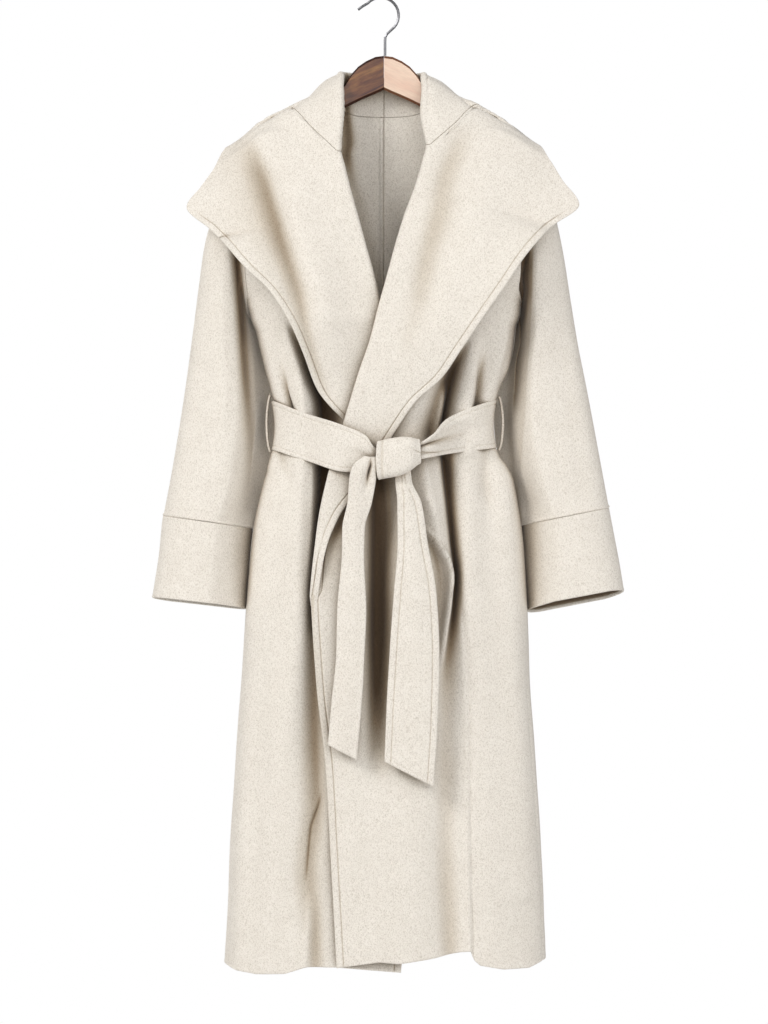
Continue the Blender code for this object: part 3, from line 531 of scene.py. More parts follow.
def collar(rows, fold_from, fold_to, gorge):
    def parts(v):
        v = np.asarray(v, float)
        seam, roll, mid, edge = (vec(*(row_at(rows, part + c, v) for c in "xyz"))
                                 for part in ("seam_", "roll_", "mid_", "edge_"))
        turn = np.radians(row_at(rows, "turn", v))
        away = vec(np.cos(turn), np.sin(turn), 0)
        up = roll - seam
        up = unit(up - away * np.sum(up * away, axis=-1, keepdims=True))
        return seam, roll, mid, edge, away, up

    def fall(v, t):
        seam, roll, mid, edge, away, up = parts(v)
        start = folded(roll, up, away, ROLL, np.ones_like(t))
        over = (start + mid) / 2 + np.array([0, 0, 5.0])
        return clear(through([start, over, mid, edge], t), (5.5 + 2.5 * ease(t / 0.35)) * ease(t / 0.02), False)

    def surface(v, s):
        v, s = np.broadcast_arrays(np.asarray(v, float), np.asarray(s, float))
        seam, roll, mid, edge, away, up = parts(v)
        foot = folded(roll, up, away, ROLL, np.zeros_like(s))
        stand = lerp(seam, foot, np.clip(s / fold_from, 0, 1))
        bend = folded(roll, up, away, ROLL, np.clip((s - fold_from) / (fold_to - fold_from), 0, 1))
        t = np.clip((s - fold_to) / (1 - fold_to), 0, 1)
        meet = ease((v - 0.55) / 0.45)
        last = np.ones_like(v)
        # the stand and the roll run into the lapel's roll at the gorge too
        seam1, roll1, _, _, away1, up1 = parts(last)
        foot1 = folded(roll1, up1, away1, ROLL, np.zeros_like(s))
        stand1 = lerp(seam1, foot1, np.clip(s / fold_from, 0, 1))
        bend1 = folded(roll1, up1, away1, ROLL, np.clip((s - fold_from) / (fold_to - fold_from), 0, 1))
        end = gorge(last, GORGE_FOLD * np.clip(s / fold_to, 0, 1)) + np.array([0, 0, 0.4])
        stand = stand + (end - stand1) * meet[..., None]
        bend = bend + (end - bend1) * meet[..., None]
        down = fall(v, t) + (gorge(last, GORGE_FOLD + (1 - GORGE_FOLD) * t) - fall(last, t)) * meet[..., None]
        return np.where((s < fold_from)[..., None], stand, np.where((s < fold_to)[..., None], bend, down))
    return surface


def armhole(sign):
    rows = FRONT_LEFT if sign > 0 else FRONT_RIGHT
    count = len(rows["side"])
    low, high = 12 / (count - 1), 17 / (count - 1)

    def ring(s):
        a = 2 * math.pi * s
        v = high + (low - high) * (1 - np.cos(a)) / 2
        x, z = outer_edge(rows, v, sign)
        face = np.where(np.sin(a) >= 0, -1.0, 1.0)
        return vec(x + sign * (CLOTH / 2 + 1.6), body_y(x, z, face), z)
    return ring


def tube(rows, sign, first=None, share=0.1):
    def section(v, s):
        out = vec(row_at(rows, "out_x", v), 0, row_at(rows, "out_z", v))
        inn = vec(row_at(rows, "in_x", v), 0, row_at(rows, "in_z", v))
        way = unit(out - inn)
        out, inn = out - way * CLOTH / 2, inn + way * CLOTH / 2
        y, deep = row_at(rows, "y", v), row_at(rows, "deep", v) - CLOTH / 2
        ca, sa = np.cos(2 * math.pi * s), np.sin(2 * math.pi * s)
        p = 2 / SLEEVE_ROUND
        point = (out + inn) / 2 + (out - inn) / 2 * (np.sign(ca) * np.abs(ca) ** p)[..., None]
        reach = np.linalg.norm(out - inn, axis=-1) / 2 * (1 + np.sign(ca) * np.abs(ca) ** p)
        tuck = row_at(rows, "tuck", v)
        thin = 1 - 0.6 * (1 - ease((reach - 10) / 44)) * np.minimum(tuck / 28, 1)
        back_by = tuck * (1 - ease((reach - 2) / 52))
        point[..., 1] = y + back_by - deep * thin * np.sign(sa) * np.abs(sa) ** p
        return point

    def surface(v, s):
        v, s = np.broadcast_arrays(np.asarray(v, float), np.asarray(s, float))
        if not first:
            return section(v, s)
        below = section(np.clip((v - share) / (1 - share), 0, 1), s)
        head = lerp(first(s), section(np.zeros_like(v), s), np.clip(v / share, 0, 1))
        return np.where((v >= share)[..., None], below, head)
    return surface


def strip(rows, slant):
    zs = rows["z"]

    def surface(v, s):
        z = zs[0] + (zs[-1] - zs[0]) * v
        left, right, y = (at(rows, "z", c, z) for c in ("left", "right", "y"))
        bulge = 2.5 * np.sin(math.pi * s)
        return vec(left + (right - left) * s, y - bulge, z - slant * s * v ** 3)
    return surface


def belt_band():
    turn_in = 118.0
    grow = CLOTH / 2 + BELT_THICK / 2 + 4.6

    def surface(v, s):
        v, s = np.broadcast_arrays(np.asarray(v, float), np.asarray(s, float))
        x1 = 8 + (-turn_in - 8) * np.clip(v / 0.22, 0, 1)
        x2 = turn_in + 8 + (42 - turn_in - 8) * np.clip((v - 0.78) / 0.22, 0, 1)
        fronts = []
        for x, rows, extra, upper in (
                (x1, BELT_RIGHT, 26 * ease((x1 + 110) / 55) + 9 * ease((x1 + 45) / 40), False),
                (x2, BELT_LEFT, 25 * ease((108 - x2) / 48), True)):
            top, bottom = at(rows, "x", "top", x), at(rows, "x", "bottom", x)
            z = top + (bottom - top) * s
            y = body_y(x, z, -1) - (overlap(x, z) if upper else 0)
            fronts.append(vec(x, y - 7.1 - extra, z))
        turn = np.clip((v - 0.22) / 0.56, 0, 1)
        p = 2 / SIDE_ROUND
        middle, half = (float(c) for c in half_width(-600.0))
        first = math.acos(((turn_in + middle) / (half + grow)) ** (1 / p))
        last = math.acos(((turn_in + 8 - middle) / (half + grow)) ** (1 / p))
        a = -first + (math.pi + first + last) * turn
        ca, sa = np.cos(a), np.sin(a)
        x = middle - (half + grow) * np.sign(ca) * np.abs(ca) ** p
        wide = -563 - 68 * s
        half = half + (half_width(wide)[1] - half) * np.abs(ca)
        tops, bottoms = [], []
        for rows, side in ((BELT_RIGHT, BELT_RIGHT["x"][0]), (BELT_LEFT, BELT_LEFT["x"][-1])):
            lead = np.where(sa < 0, x, side)
            tops.append(at(rows, "x", "top", lead))
            bottoms.append(at(rows, "x", "bottom", lead))
        right = turn < 0.5
        top, bottom = np.where(right, *tops), np.where(right, *bottoms)
        z = top + (bottom - top) * s
        x = middle - (half + grow) * np.sign(ca) * np.abs(ca) ** p
        deep = np.where(sa > 0, at(BODY, "z", "back", z), at(BODY, "z", "front", z)) + grow
        around = vec(x, WIDEST + deep * np.sign(sa) * np.abs(sa) ** p, z)
        return np.where((v < 0.22)[..., None], fronts[0], np.where((v > 0.78)[..., None], fronts[1], around))
    return surface


KNOT = table("x top bottom front back", [
    (-4, -619, -676, -107, -86), (14, -616, -671, -110, -86),
    (34, -615, -664, -110, -86), (54, -616, -651, -107, -86),
])


def knot():
    def surface(v, s):
        x, top, bottom, near, far = (row_at(KNOT, c, v) for c in ("x", "top", "bottom", "front", "back"))
        ca, sa = np.cos(2 * math.pi * s), np.sin(2 * math.pi * s)
        z = (top + bottom) / 2 + ((top - bottom) / 2 - BELT_THICK / 2) * np.sign(ca) * np.abs(ca) ** 0.5
        return vec(x, (near + far) / 2 - (far - near) / 2 * np.sign(sa) * np.abs(sa) ** 0.5, z)
    return surface


def belt_loop(side_x, bulge_x, top, bottom):
    def surface(v, s):
        x = side_x + (bulge_x - side_x) * np.sin(math.pi * np.clip(v, 0, 1)) ** 0.6
        return vec(x, WIDEST - 5 + 10 * s, top + (bottom - top) * v)
    return surface


# --------------------------------------------------------- where a point shows
EYE = 7000.0          # camera's distance from the coat's middle plane
AIM_X, AIM_Z = 4.5, -718.3
PIXEL = 1.4           # mm of the middle plane to a pixel of the frame


def shown(p):
    """Frame position (x to the right, y down) of points."""
    k = EYE / (EYE + p[..., 1]) / PIXEL
    return 384 + (p[..., 0] - AIM_X) * k, 512 - (p[..., 2] - AIM_Z) * k


def crease(px, py, rows, along="y", power=2.0):
    """Height of a soft ridge (height > 0) or trough (< 0).  Each row of rows:
    place along the line, place across it, height in mm, soft width on the low
    and on the high side.  The line fades out at its ends."""
    rows = np.array(sorted(rows), float)
    a, c = (py, px) if along == "y" else (px, py)
    keys = rows[:, 0]
    centre, height = curve(keys, rows[:, 1], a), curve(keys, rows[:, 2], a)
    low, high = curve(keys, rows[:, 3], a), curve(keys, rows[:, 4], a)
    inside = (a >= keys[0]) & (a <= keys[-1])
    u = c - centre
    u = np.where(u < 0, u / low, u / high)
    return np.where(inside, height * np.exp(-np.abs(u) ** power), 0.0)


def wander(p, size, seed):
    """Soft unevenness between -1 and 1: a few waves of different directions."""
    rng = np.random.RandomState(seed)
    total = np.zeros(p.shape[:-1])
    for _ in range(7):
        way = rng.normal(size=3)
        way /= np.linalg.norm(way)
        total += np.sin(p @ way * (2 * math.pi / (size * rng.uniform(0.6, 1.7))) + rng.uniform(0, 6.28))
    return total / 7 * 1.6


# ------------------------------------------------------------------ building
EDGE_BAND = 9.5       # width of the stitched band along a free edge


def places(length, first, last, step):
    """Distances from the start of a line: fine steps at both ends."""
    head = [d for d in first if d < length / 2]
    tail = [length - d for d in last if d < length / 2][::-1]
    a, b = head[-1], tail[0]
    count = max(int(round((b - a) / step)), 1)
    middle = list(np.linspace(a, b, count + 1)[1:-1])
    return np.array(head + middle + tail)


FREE = [0, 0.35, 0.9, 1.8, 3.2, 5.0, 6.8, 8.2, 9.0, 9.6, 10.2, 10.8, 11.6, 13.0, 15.5]
SEWN = [0, 0.5, 1.1, 1.9, 3.0, 4.6, 6.4, 8.6]
PLAIN = [0, 1.0]
HEM = [0, 0.35, 0.9, 1.8, 3.0, 4.6, 6.5]
EDGE = [0, 0.35, 0.9, 1.8, 3.0, 4.2, 5.2, 5.9, 6.4, 6.9, 7.6, 8.8]
ENDS = {"free": FREE, "sewn": SEWN, "plain": PLAIN, "hem": HEM, "edge": EDGE, "felled": SEWN,
        "joined": [0, 0.4, 0.9, 2.0], "ridged": [0, 0.5, 1.1, 1.9, 3.0, 4.2, 5.6, 7.2],
        "taper": [0, 2.5, 5, 7.5, 10, 12.5, 15]}


def band(kind, d, sharp):
    """Half thickness lost at a border and the height of what is sewn there."""
    if kind == "free":
        lost = (1 - np.sqrt(np.clip(1 - (1 - np.clip(d / 1.5, 0, 1)) ** 2, 0, 1))) * 0.93
        puff = 0.55 * np.sin(math.pi * np.clip(d / EDGE_BAND, 0, 1)) ** 0.6
        groove = -1.05 * sharp * np.exp(-((d - 9.9) / 0.75) ** 2)
        rise = 0.25 * np.exp(-((d - 12.5) / 2.0) ** 2)
        return lost, puff + groove + rise
    if kind == "hem":
        lost = (1 - np.sqrt(np.clip(1 - (1 - np.clip(d / 1.5, 0, 1)) ** 2, 0, 1))) * 0.93
        return lost, 0.35 * np.exp(-((d - 2.2) / 1.8) ** 2)
    if kind == "edge":
        lost = (1 - np.sqrt(np.clip(1 - (1 - np.clip(d / 1.7, 0, 1)) ** 2, 0, 1))) * 0.93
        return lost, 0.3 * np.sin(math.pi * np.clip(d / 6, 0, 1)) - 0.5 * sharp * np.exp(-((d - 6.3) / 0.7) ** 2)
    if kind == "ridged":
        return (1 - np.clip(d / 0.9, 0, 1)) ** 2 * 0.6, 1.6 * np.exp(-((d - 2.9) / 1.5) ** 2)
    if kind == "joined":
        return (1 - np.clip(d / 0.8, 0, 1)) ** 2 * 0.5, np.zeros_like(d)
    if kind == "felled":
        lost = (1 - np.sqrt(np.clip(1 - (1 - np.clip(d / 1.2, 0, 1)) ** 2, 0, 1))) * 0.8
        return lost, 1.3 * ease((d - 0.6) / 1.2) * ease((6.2 - d) / 1.6)
    if kind == "sewn":
        lost = (1 - np.sqrt(np.clip(1 - (1 - np.clip(d / 1.9, 0, 1)) ** 2, 0, 1))) * 0.8
        return lost, 0.38 * np.exp(-((d - 3.4) / 1.7) ** 2)
    return np.zeros_like(d), np.zeros_like(d)


def cloth(name, surface, kinds, step=4.0, thick=CLOTH, loop=False, out=(0, -1, 0), relief=None,
          shift=None, sharp=1.0, row_step=None, bumps=None, inner=0.6, push=None, paint_shade=None, keep=None, inside=0.0):
    """Fine shell on a surface(v, s).  kinds: what the first row, last row,
    first column and last column are: free, sewn or plain.  relief(p, px, py)
    moves it along its normal, shift(p, px, py) by a vector.  Painted shade is
    kept on the mesh: in the relief's troughs, in the grooves of stitched edges,
    from the piece's shade function on both skins and from inside on the inner
    skin only."""
    row_step = row_step or step
    v0, s0 = np.linspace(0, 1, 161), np.linspace(0, 1, 241)
    dense = surface(v0[:, None], s0[None, :])
    run_v = np.concatenate([[0], np.cumsum(np.linalg.norm(np.diff(dense, axis=0), axis=-1).mean(axis=1))])
    targets_v = places(run_v[-1], ENDS[kinds[0]], ENDS[kinds[1]], row_step)
    vs = np.interp(targets_v, run_v, v0)
    lines = surface(vs[:, None], s0[None, :])
    run_s = np.concatenate([np.zeros((len(vs), 1)),
                            np.cumsum(np.linalg.norm(np.diff(lines, axis=1), axis=-1), axis=1)], axis=1)
    total = run_s[:, -1]
    if loop:
        n = int(round(total.mean() / step))
        share = np.linspace(0, 1, n, endpoint=False)[None, :] * total[:, None]
        d_first = d_last = None
    else:
        head = np.array(ENDS[kinds[2]], float)
        tail = np.array(ENDS[kinds[3]], float)[::-1]
        count = max(int(round((total.max() - head[-1] - tail[0]) / step)), 2)
        t = np.linspace(0, 1, count + 1)[1:-1]
        squeeze = np.minimum(1.0, total * 0.42 / max(head[-1], tail[0]))
        share = np.concatenate([head[None, :] * squeeze[:, None],
                                (head[-1] * squeeze)[:, None] * (1 - t) + (total - tail[0] * squeeze)[:, None] * t,
                                total[:, None] - tail[None, :] * squeeze[:, None]], axis=1)
        d_first, d_last = share, total[:, None] - share
    s = np.stack([np.interp(share[i], run_s[i], s0) for i in range(len(vs))])
    mid = surface(np.repeat(vs[:, None], s.shape[1], axis=1), s)
    shape = mid.shape[:2]
    h_first = np.repeat(targets_v[:, None], shape[1], axis=1)
    h_last = run_v[-1] - h_first

    def normals(p):
        if loop:
            q = np.concatenate([p[:, -1:], p, p[:, :1]], axis=1)
            along = (q[:, 2:] - q[:, :-2])
        else:
            along = np.gradient(p, axis=1)
        up = np.gradient(p, axis=0)
        return unit(np.cross(up, along))

    n = normals(mid)
    hint = np.asarray(out(mid) if callable(out) else np.broadcast_to(out, mid.shape), float)
    if np.sum(n * hint) < 0:
        flip = -1.0
    else:
        flip = 1.0
    n = n * flip
    px, py = shown(mid)
    if shift is not None:
        mid = mid + shift(mid, px, py)
    painted_shade = np.zeros(shape)
    if relief is not None:
        height = relief(mid, px, py)
        mid = mid + (n * np.array([0.0, 1.0, 0.0]) if push == "y" else n) * height[..., None]
        # painted shade in the relief's troughs, growing with their depth
        painted_shade = np.clip((-height - 1.5) / 22.0, 0, 1)
    # more painted shade from the piece's own shade function
    if paint_shade is not None:
        painted_shade = np.clip(painted_shade + paint_shade(mid, px, py), 0, 1)
    n = normals(mid) * flip
    lost, lift = np.zeros(shape), np.zeros(shape)
    borders = [(kinds[0], h_first), (kinds[1], h_last)]
    if not loop:
        borders += [(kinds[2], d_first), (kinds[3], d_last)]
    for kind, d in borders:
        a, b = band(kind, d, sharp)
        lost = np.maximum(lost, a)
        lift = lift + b
    if keep is not None:
        lift = lift * keep(px, py)
    # painted shade in the grooves of the stitched bands
    painted_shade = np.clip(painted_shade + 0.42 * np.clip(-lift - 0.12, 0, 1), 0, 1)
    half = thick / 2 * (1 - lost)
    lift = lift * (1 - lost)
    fuzz = np.zeros(shape) if bumps is None else bumps(mid, *shown(mid))
    drop = CLOTH * 0.92 * ease(1 - h_first / 15.0) if kinds[0] == "taper" else 0.0
    outer = mid + n * (half + lift + fuzz - drop)[..., None]
    under = mid - n * (half + lift * inner)[..., None]
    rows, cols = shape
    verts = np.concatenate([outer.reshape(-1, 3), under.reshape(-1, 3)]) * MM
    idx = np.arange(rows * cols).reshape(rows, cols)
    nxt = np.roll(idx, -1, axis=1) if loop else None
    if loop:
        a, b, c, d = idx[:-1], nxt[:-1], nxt[1:], idx[1:]
    else:
        a, b, c, d = idx[:-1, :-1], idx[:-1, 1:], idx[1:, 1:], idx[1:, :-1]
    quads = np.stack([a, b, c, d], axis=-1).reshape(-1, 4)
    k = rows * cols
    faces = [quads[:, ::-1] if flip > 0 else quads, (quads if flip > 0 else quads[:, ::-1]) + k]

    def rim(line, reverse):
        q = np.stack([line[:-1], line[1:], line[1:] + k, line[:-1] + k], axis=-1)
        faces.append(q[:, ::-1] if reverse != (flip < 0) else q)
    first, last = idx[0], idx[-1]
    if loop:
        first, last = np.append(first, first[0]), np.append(last, last[0])
    rim(first, False)
    rim(last, True)
    if not loop:
        rim(idx[:, 0], True)
        rim(idx[:, -1], False)
    faces = np.concatenate(faces)
    mesh = bpy.data.meshes.new(name)
    mesh.vertices.add(len(verts))
    mesh.vertices.foreach_set("co", verts.ravel())
    mesh.loops.add(faces.size)
    mesh.loops.foreach_set("vertex_index", faces.ravel().astype(np.int32))
    mesh.polygons.add(len(faces))
    mesh.polygons.foreach_set("loop_start", np.arange(0, faces.size, 4, dtype=np.int32))
    mesh.polygons.foreach_set("loop_total", np.full(len(faces), 4, dtype=np.int32))
    mesh.update(calc_edges=True)
    mesh.validate()
    mesh.polygons.foreach_set("use_smooth", np.ones(len(mesh.polygons), dtype=bool))
    # the inner skin gets inside's painted shade as well
    if callable(inside):
        inside = inside(mid, *shown(mid), h_last)
    # the painted shade goes onto the mesh as an attribute, which the wool reads
    depth = mesh.attributes.new("painted_shade", "FLOAT", "POINT")
    depth.data.foreach_set("value", np.concatenate([painted_shade.ravel(), np.clip(painted_shade + inside, 0, 1).ravel()]).astype(np.float32))
    mesh.update()
    obj = bpy.data.objects.new(name, mesh)
    bpy.context.scene.collection.objects.link(obj)
    SIZES[name] = (float(total.max()), float(run_v[-1]), float(np.sum(
        np.linalg.norm(np.cross(mid[1:, 1:] - mid[:-1, :-1], mid[1:, :-1] - mid[:-1, 1:]), axis=-1)) / 2))
    TRIANGLES[name] = 2 * len(faces)
    return obj


SIZES, TRIANGLES = {}, {}


# ----------------------------------------------------------------- materials
def nodes_of(name):
    m = bpy.data.materials.new(name)
    m.use_nodes = True
    tree = m.node_tree
    return m, tree, tree.nodes["Principled BSDF"]


def noise(tree, scale, detail=3.0, rough=0.55, stretch=(1, 1, 1), lacunarity=2.0):
    coords = tree.nodes.new("ShaderNodeTexCoord")
    mapping = tree.nodes.new("ShaderNodeMapping")
    mapping.inputs["Scale"].default_value = stretch
    tree.links.new(coords.outputs["Object"], mapping.inputs["Vector"])
    n = tree.nodes.new("ShaderNodeTexNoise")
    n.inputs["Scale"].default_value = scale
    n.inputs["Detail"].default_value = detail
    n.inputs["Roughness"].default_value = rough
    n.inputs["Lacunarity"].default_value = lacunarity
    tree.links.new(mapping.outputs["Vector"], n.inputs["Vector"])
    return n.outputs["Fac"]


def ramp(tree, fac, stops):
    r = tree.nodes.new("ShaderNodeValToRGB")
    e = r.color_ramp.elements
    while len(e) < len(stops):
        e.new(0.5)
    for k, (pos, colour) in enumerate(stops):
        e[k].position = pos
        e[k].color = (*colour, 1.0)
    tree.links.new(fac, r.inputs["Fac"])
    return r.outputs["Color"]


def mix(tree, kind, fac, a, b):
    m = tree.nodes.new("ShaderNodeMix")
    m.data_type = "RGBA"
    m.blend_type = kind
    if isinstance(fac, (int, float)):
        m.inputs["Factor"].default_value = fac
    else:
        tree.links.new(fac, m.inputs["Factor"])
    for socket, value in ((m.inputs["A"], a), (m.inputs["B"], b)):
        if isinstance(value, tuple):
            socket.default_value = (*value, 1.0)
        else:
            tree.links.new(value, socket)
    return m.outputs["Result"]


def sum_of(tree, parts):
    """Weighted sum of (socket, weight) pairs."""
    total = None
    for socket, weight in parts:
        m = tree.nodes.new("ShaderNodeMath")
        m.operation = "MULTIPLY_ADD"
        tree.links.new(socket, m.inputs[0])
        m.inputs[1].default_value = weight
        if total is None:
            m.inputs[2].default_value = 0.0
        else:
            tree.links.new(total, m.inputs[2])
        total = m.outputs[0]
    return total


def wool(name, near_shade=0.9, light=(0.90, 0.848, 0.768), dark=(0.655, 0.598, 0.518)):
    """Felted double-faced wool: speckled nap over a faint mottle, with painted
    shade that makes it deeper and warmer down in the folds and under the edges."""
    m, tree, shader = nodes_of(name)
    nap = noise(tree, 820, 1.0, 0.5)
    fibre = noise(tree, 560, 1.5, 0.5, (1.0, 1.0, 0.6))
    mottle = noise(tree, 34, 2.0, 0.5)
    speck = ramp(tree, sum_of(tree, [(nap, 0.6), (fibre, 0.4)]), [(0.36, dark), (0.50, tuple((a * 3 + b) / 4 for a, b in zip(light, dark))), (0.64, light)])
    shade = ramp(tree, mottle, [(0.3, (0.965, 0.96, 0.955)), (0.7, (1.0, 1.0, 1.0))])
    colour = mix(tree, "MULTIPLY", 1.0, speck, shade)
    # Painted shade from an ambient-occlusion node, darkest and brownest in tight recesses; near_shade sets how much of
    # it shows.
    near = tree.nodes.new("ShaderNodeAmbientOcclusion")
    near.samples = 6
    near.inputs["Distance"].default_value = 0.045
    near.inputs["Color"].default_value = (1, 1, 1, 1)
    occlusion_shade = ramp(tree, near.outputs["AO"], [(0.15, (0.07, 0.048, 0.03)), (0.45, (0.50, 0.425, 0.33)), (0.80, (1.0, 1.0, 1.0))])
    colour = mix(tree, "MULTIPLY", near_shade, colour, occlusion_shade)
    # More painted shade, read from the mesh's attribute: darker and browner down in folds, gaps and grooves.
    painted_shade = tree.nodes.new("ShaderNodeAttribute")
    painted_shade.attribute_type = "GEOMETRY"
    painted_shade.attribute_name = "painted_shade"
    folds = ramp(tree, painted_shade.outputs["Fac"], [(0.0, (1.0, 1.0, 1.0)), (0.35, (0.79, 0.755, 0.705)), (0.7, (0.43, 0.36, 0.28)), (1.0, (0.16, 0.115, 0.075))])
    colour = mix(tree, "MULTIPLY", 1.0, colour, folds)
    tree.links.new(colour, shader.inputs["Base Color"])
    shader.inputs["Roughness"].default_value = 0.96
    shader.inputs["Specular IOR Level"].default_value = 0.18
    shader.inputs["Sheen Weight"].default_value = 0.22
    shader.inputs["Sheen Roughness"].default_value = 0.6
    shader.inputs["Sheen Tint"].default_value = (1.0, 0.98, 0.95, 1.0)
    bump = tree.nodes.new("ShaderNodeBump")
    bump.inputs["Strength"].default_value = 0.55
    bump.inputs["Distance"].default_value = 0.0011
    height = sum_of(tree, [(nap, 0.9), (fibre, 0.8), (noise(tree, 150, 2.0, 0.5), 0.3)])
    tree.links.new(height, bump.inputs["Height"])
    tree.links.new(bump.outputs["Normal"], shader.inputs["Normal"])
    return m


def wood(name, base, streak, deep, turn, strength):
    """Varnished wood with grain along the wing, and painted shade on its rims."""
    m, tree, shader = nodes_of(name)
    coords = tree.nodes.new("ShaderNodeTexCoord")
    turned = tree.nodes.new("ShaderNodeMapping")
    turned.inputs["Rotation"].default_value = (0, math.radians(turn), 0)
    tree.links.new(coords.outputs["Object"], turned.inputs["Vector"])
    mapping = tree.nodes.new("ShaderNodeMapping")
    mapping.inputs["Scale"].default_value = (9, 40, 62)
    tree.links.new(turned.outputs["Vector"], mapping.inputs["Vector"])
    grain = tree.nodes.new("ShaderNodeTexNoise")
    grain.inputs["Scale"].default_value = 1.0
    grain.inputs["Detail"].default_value = 5.0
    grain.inputs["Roughness"].default_value = 0.6
    grain.inputs["Distortion"].default_value = 0.6
    tree.links.new(mapping.outputs["Vector"], grain.inputs["Vector"])
    fine = tree.nodes.new("ShaderNodeTexNoise")
    fine.inputs["Scale"].default_value = 9.0
    fine.inputs["Detail"].default_value = 3.0
    tree.links.new(mapping.outputs["Vector"], fine.inputs["Vector"])
    colour = ramp(tree, grain.outputs["Fac"], [(0.34, deep), (0.47, streak), (0.60, base)])
    lines = ramp(tree, fine.outputs["Fac"], [(0.35, (1 - strength,) * 3), (0.6, (1, 1, 1))])
    colour = mix(tree, "MULTIPLY", 1.0, colour, lines)
    # Painted shade on the rims, where the surface turns away from front and back.
    facing = tree.nodes.new("ShaderNodeNewGeometry")
    split = tree.nodes.new("ShaderNodeSeparateXYZ")
    tree.links.new(facing.outputs["True Normal"], split.inputs["Vector"])
    flat = tree.nodes.new("ShaderNodeMath")
    flat.operation = "ABSOLUTE"
    tree.links.new(split.outputs["Y"], flat.inputs[0])
    rim = ramp(tree, flat.outputs[0], [(0.80, (0.22, 0.12, 0.07)), (0.93, (1, 1, 1))])
    tree.links.new(mix(tree, "MULTIPLY", 1.0, colour, rim), shader.inputs["Base Color"])
    shader.inputs["Roughness"].default_value = 0.38
    shader.inputs["Coat Weight"].default_value = 0.12
    shader.inputs["Coat Roughness"].default_value = 0.2
    bump = tree.nodes.new("ShaderNodeBump")
    bump.inputs["Strength"].default_value = 0.25
    bump.inputs["Distance"].default_value = 0.0004
    tree.links.new(fine.outputs["Fac"], bump.inputs["Height"])
    tree.links.new(bump.outputs["Normal"], shader.inputs["Normal"])
    return m


def metal(name):
    m, tree, shader = nodes_of(name)
    shader.inputs["Metallic"].default_value = 1.0
    shader.inputs["Base Color"].default_value = (0.20, 0.20, 0.21, 1)
    marks = noise(tree, 700, 3.0, 0.6, (1, 1, 0.1))
    r = tree.nodes.new("ShaderNodeMapRange")
    r.inputs["To Min"].default_value = 0.30
    r.inputs["To Max"].default_value = 0.44
    tree.links.new(marks, r.inputs["Value"])
    tree.links.new(r.outputs["Result"], shader.inputs["Roughness"])
    return m


# Two copies of the wool: the second, used for the backs and sleeves, carries less painted occlusion shade.
WOOL_COAT = wool("coat_wool")
WOOL_WEAK_SHADE = wool("coat_wool_weak_painted_shade", 0.30)


def put(obj, nodes, material=None):
    obj.data.materials.append(material or WOOL_COAT)
    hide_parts(*nodes)
    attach(obj, "root")
    return obj


# -------------------------------------------------------------------- fronts
lapel_left = lapel(LAPEL_LEFT, 1, True, 3 / 13)
lapel_right = lapel(LAPEL_RIGHT, -1, False, 3 / 13)
GORGE_FOLD = 3 / 13


def between_tails(px, py):
    return crease(px, py, [(440, 376, -10, 9, 16), (470, 377, -24, 10, 17), (520, 377, -30, 11, 18), (600, 376, -30, 10, 17), (680, 376, -25, 10, 16), (740, 377, -14, 11, 14), (775, 380, -4, 14, 14), (800, 382, 0, 16, 16)])


def folds_right(p, px, py):
    """Wearer's right front, at the viewer's left."""
    h = crease(px, py, [(338, 274, 0, 5, 4), (356, 278, -2.5, 6, 4), (376, 283.5, -5.5, 5, 3), (398, 288.5, -8, 4, 2.2), (420, 293, -8, 4, 2.2), (440, 296, -3, 5, 3)])
    h += crease(px, py, [(318, 268, 0, 8, 8), (350, 272, 3, 8, 7), (385, 278, 4, 7, 6), (420, 283, 3, 7, 6)])
    h += crease(px, py, [(330, 290, 0, 9, 7), (365, 297, 5, 9, 6), (400, 303, 8, 9, 5), (440, 304, 7, 10, 6), (500, 300, 7, 14, 8), (580, 297, 6, 18, 9), (700, 288, 5, 24, 14), (850, 268, 4, 26, 20), (975, 262, 4, 26, 20)])
    h += crease(px, py, [(322, 289, 0, 4, 14), (338, 296, -14, 5, 14), (352, 302, -22, 5.5, 16), (368, 308, -26, 5.5, 18), (385, 314, -28, 6, 20), (400, 320, -29, 7, 20), (415, 322, -29, 8, 20), (440, 322, -27, 7, 18)], power=3.0)
    h += between_tails(px, py) * ease((px - 345) / 20)
    h += crease(px, py, [(440, 322, -26, 6, 24), (465, 320, -28, 5, 22), (500, 319, -28, 4.5, 20), (530, 318, -26, 4.5, 16), (560, 316, -20, 5, 12), (585, 314, -14, 5, 10), (610, 313, -9, 5, 8), (640, 313, 0, 5, 8)], power=3.5)
    h += crease(px, py, [(560, 316, 0, 7, 14), (600, 314, -9, 7, 12), (700, 313, -12, 11, 11), (800, 315, -11, 14, 9), (874, 308, -10, 15, 9), (930, 314, -9, 12, 9), (975, 315, -9, 12, 10)])
    h += crease(px, py, [(440, 281, 0, 5, 6), (455, 283, -5, 5, 6), (466, 286, -4.5, 5, 6), (490, 289, -1.5, 6, 8), (520, 290, 0, 6, 8)])
    h += crease(px, py, [(790, 321, 0, 2, 4), (800, 319.5, -1.6, 1.6, 4), (828, 309.6, -2.0, 1.8, 4), (853, 307, -2.0, 1.6, 4), (872, 305.4, -1.4, 1.6, 4), (884, 304.6, 0, 1.6, 4)])
    h += crease(px, py, [(890, 309, 0, 5, 5), (916, 309, 4, 4, 5), (952, 306, 4.5, 4, 5), (975, 305, 4, 4, 5)])
    h += crease(px, py, [(620, 251, 0, 9, 10), (720, 247, 3, 9, 12), (850, 243, 4, 9, 13), (975, 240, 4, 9, 13)])
    h += crease(px, py, [(640, 262, 0, 8, 8), (760, 259, -2.5, 8, 9), (880, 254, -3.5, 9, 9), (975, 252, -3.5, 9, 9)])
    return h + 0.8 * wander(p, 110, 3) * ease((-260 - p[..., 2]) / 120)


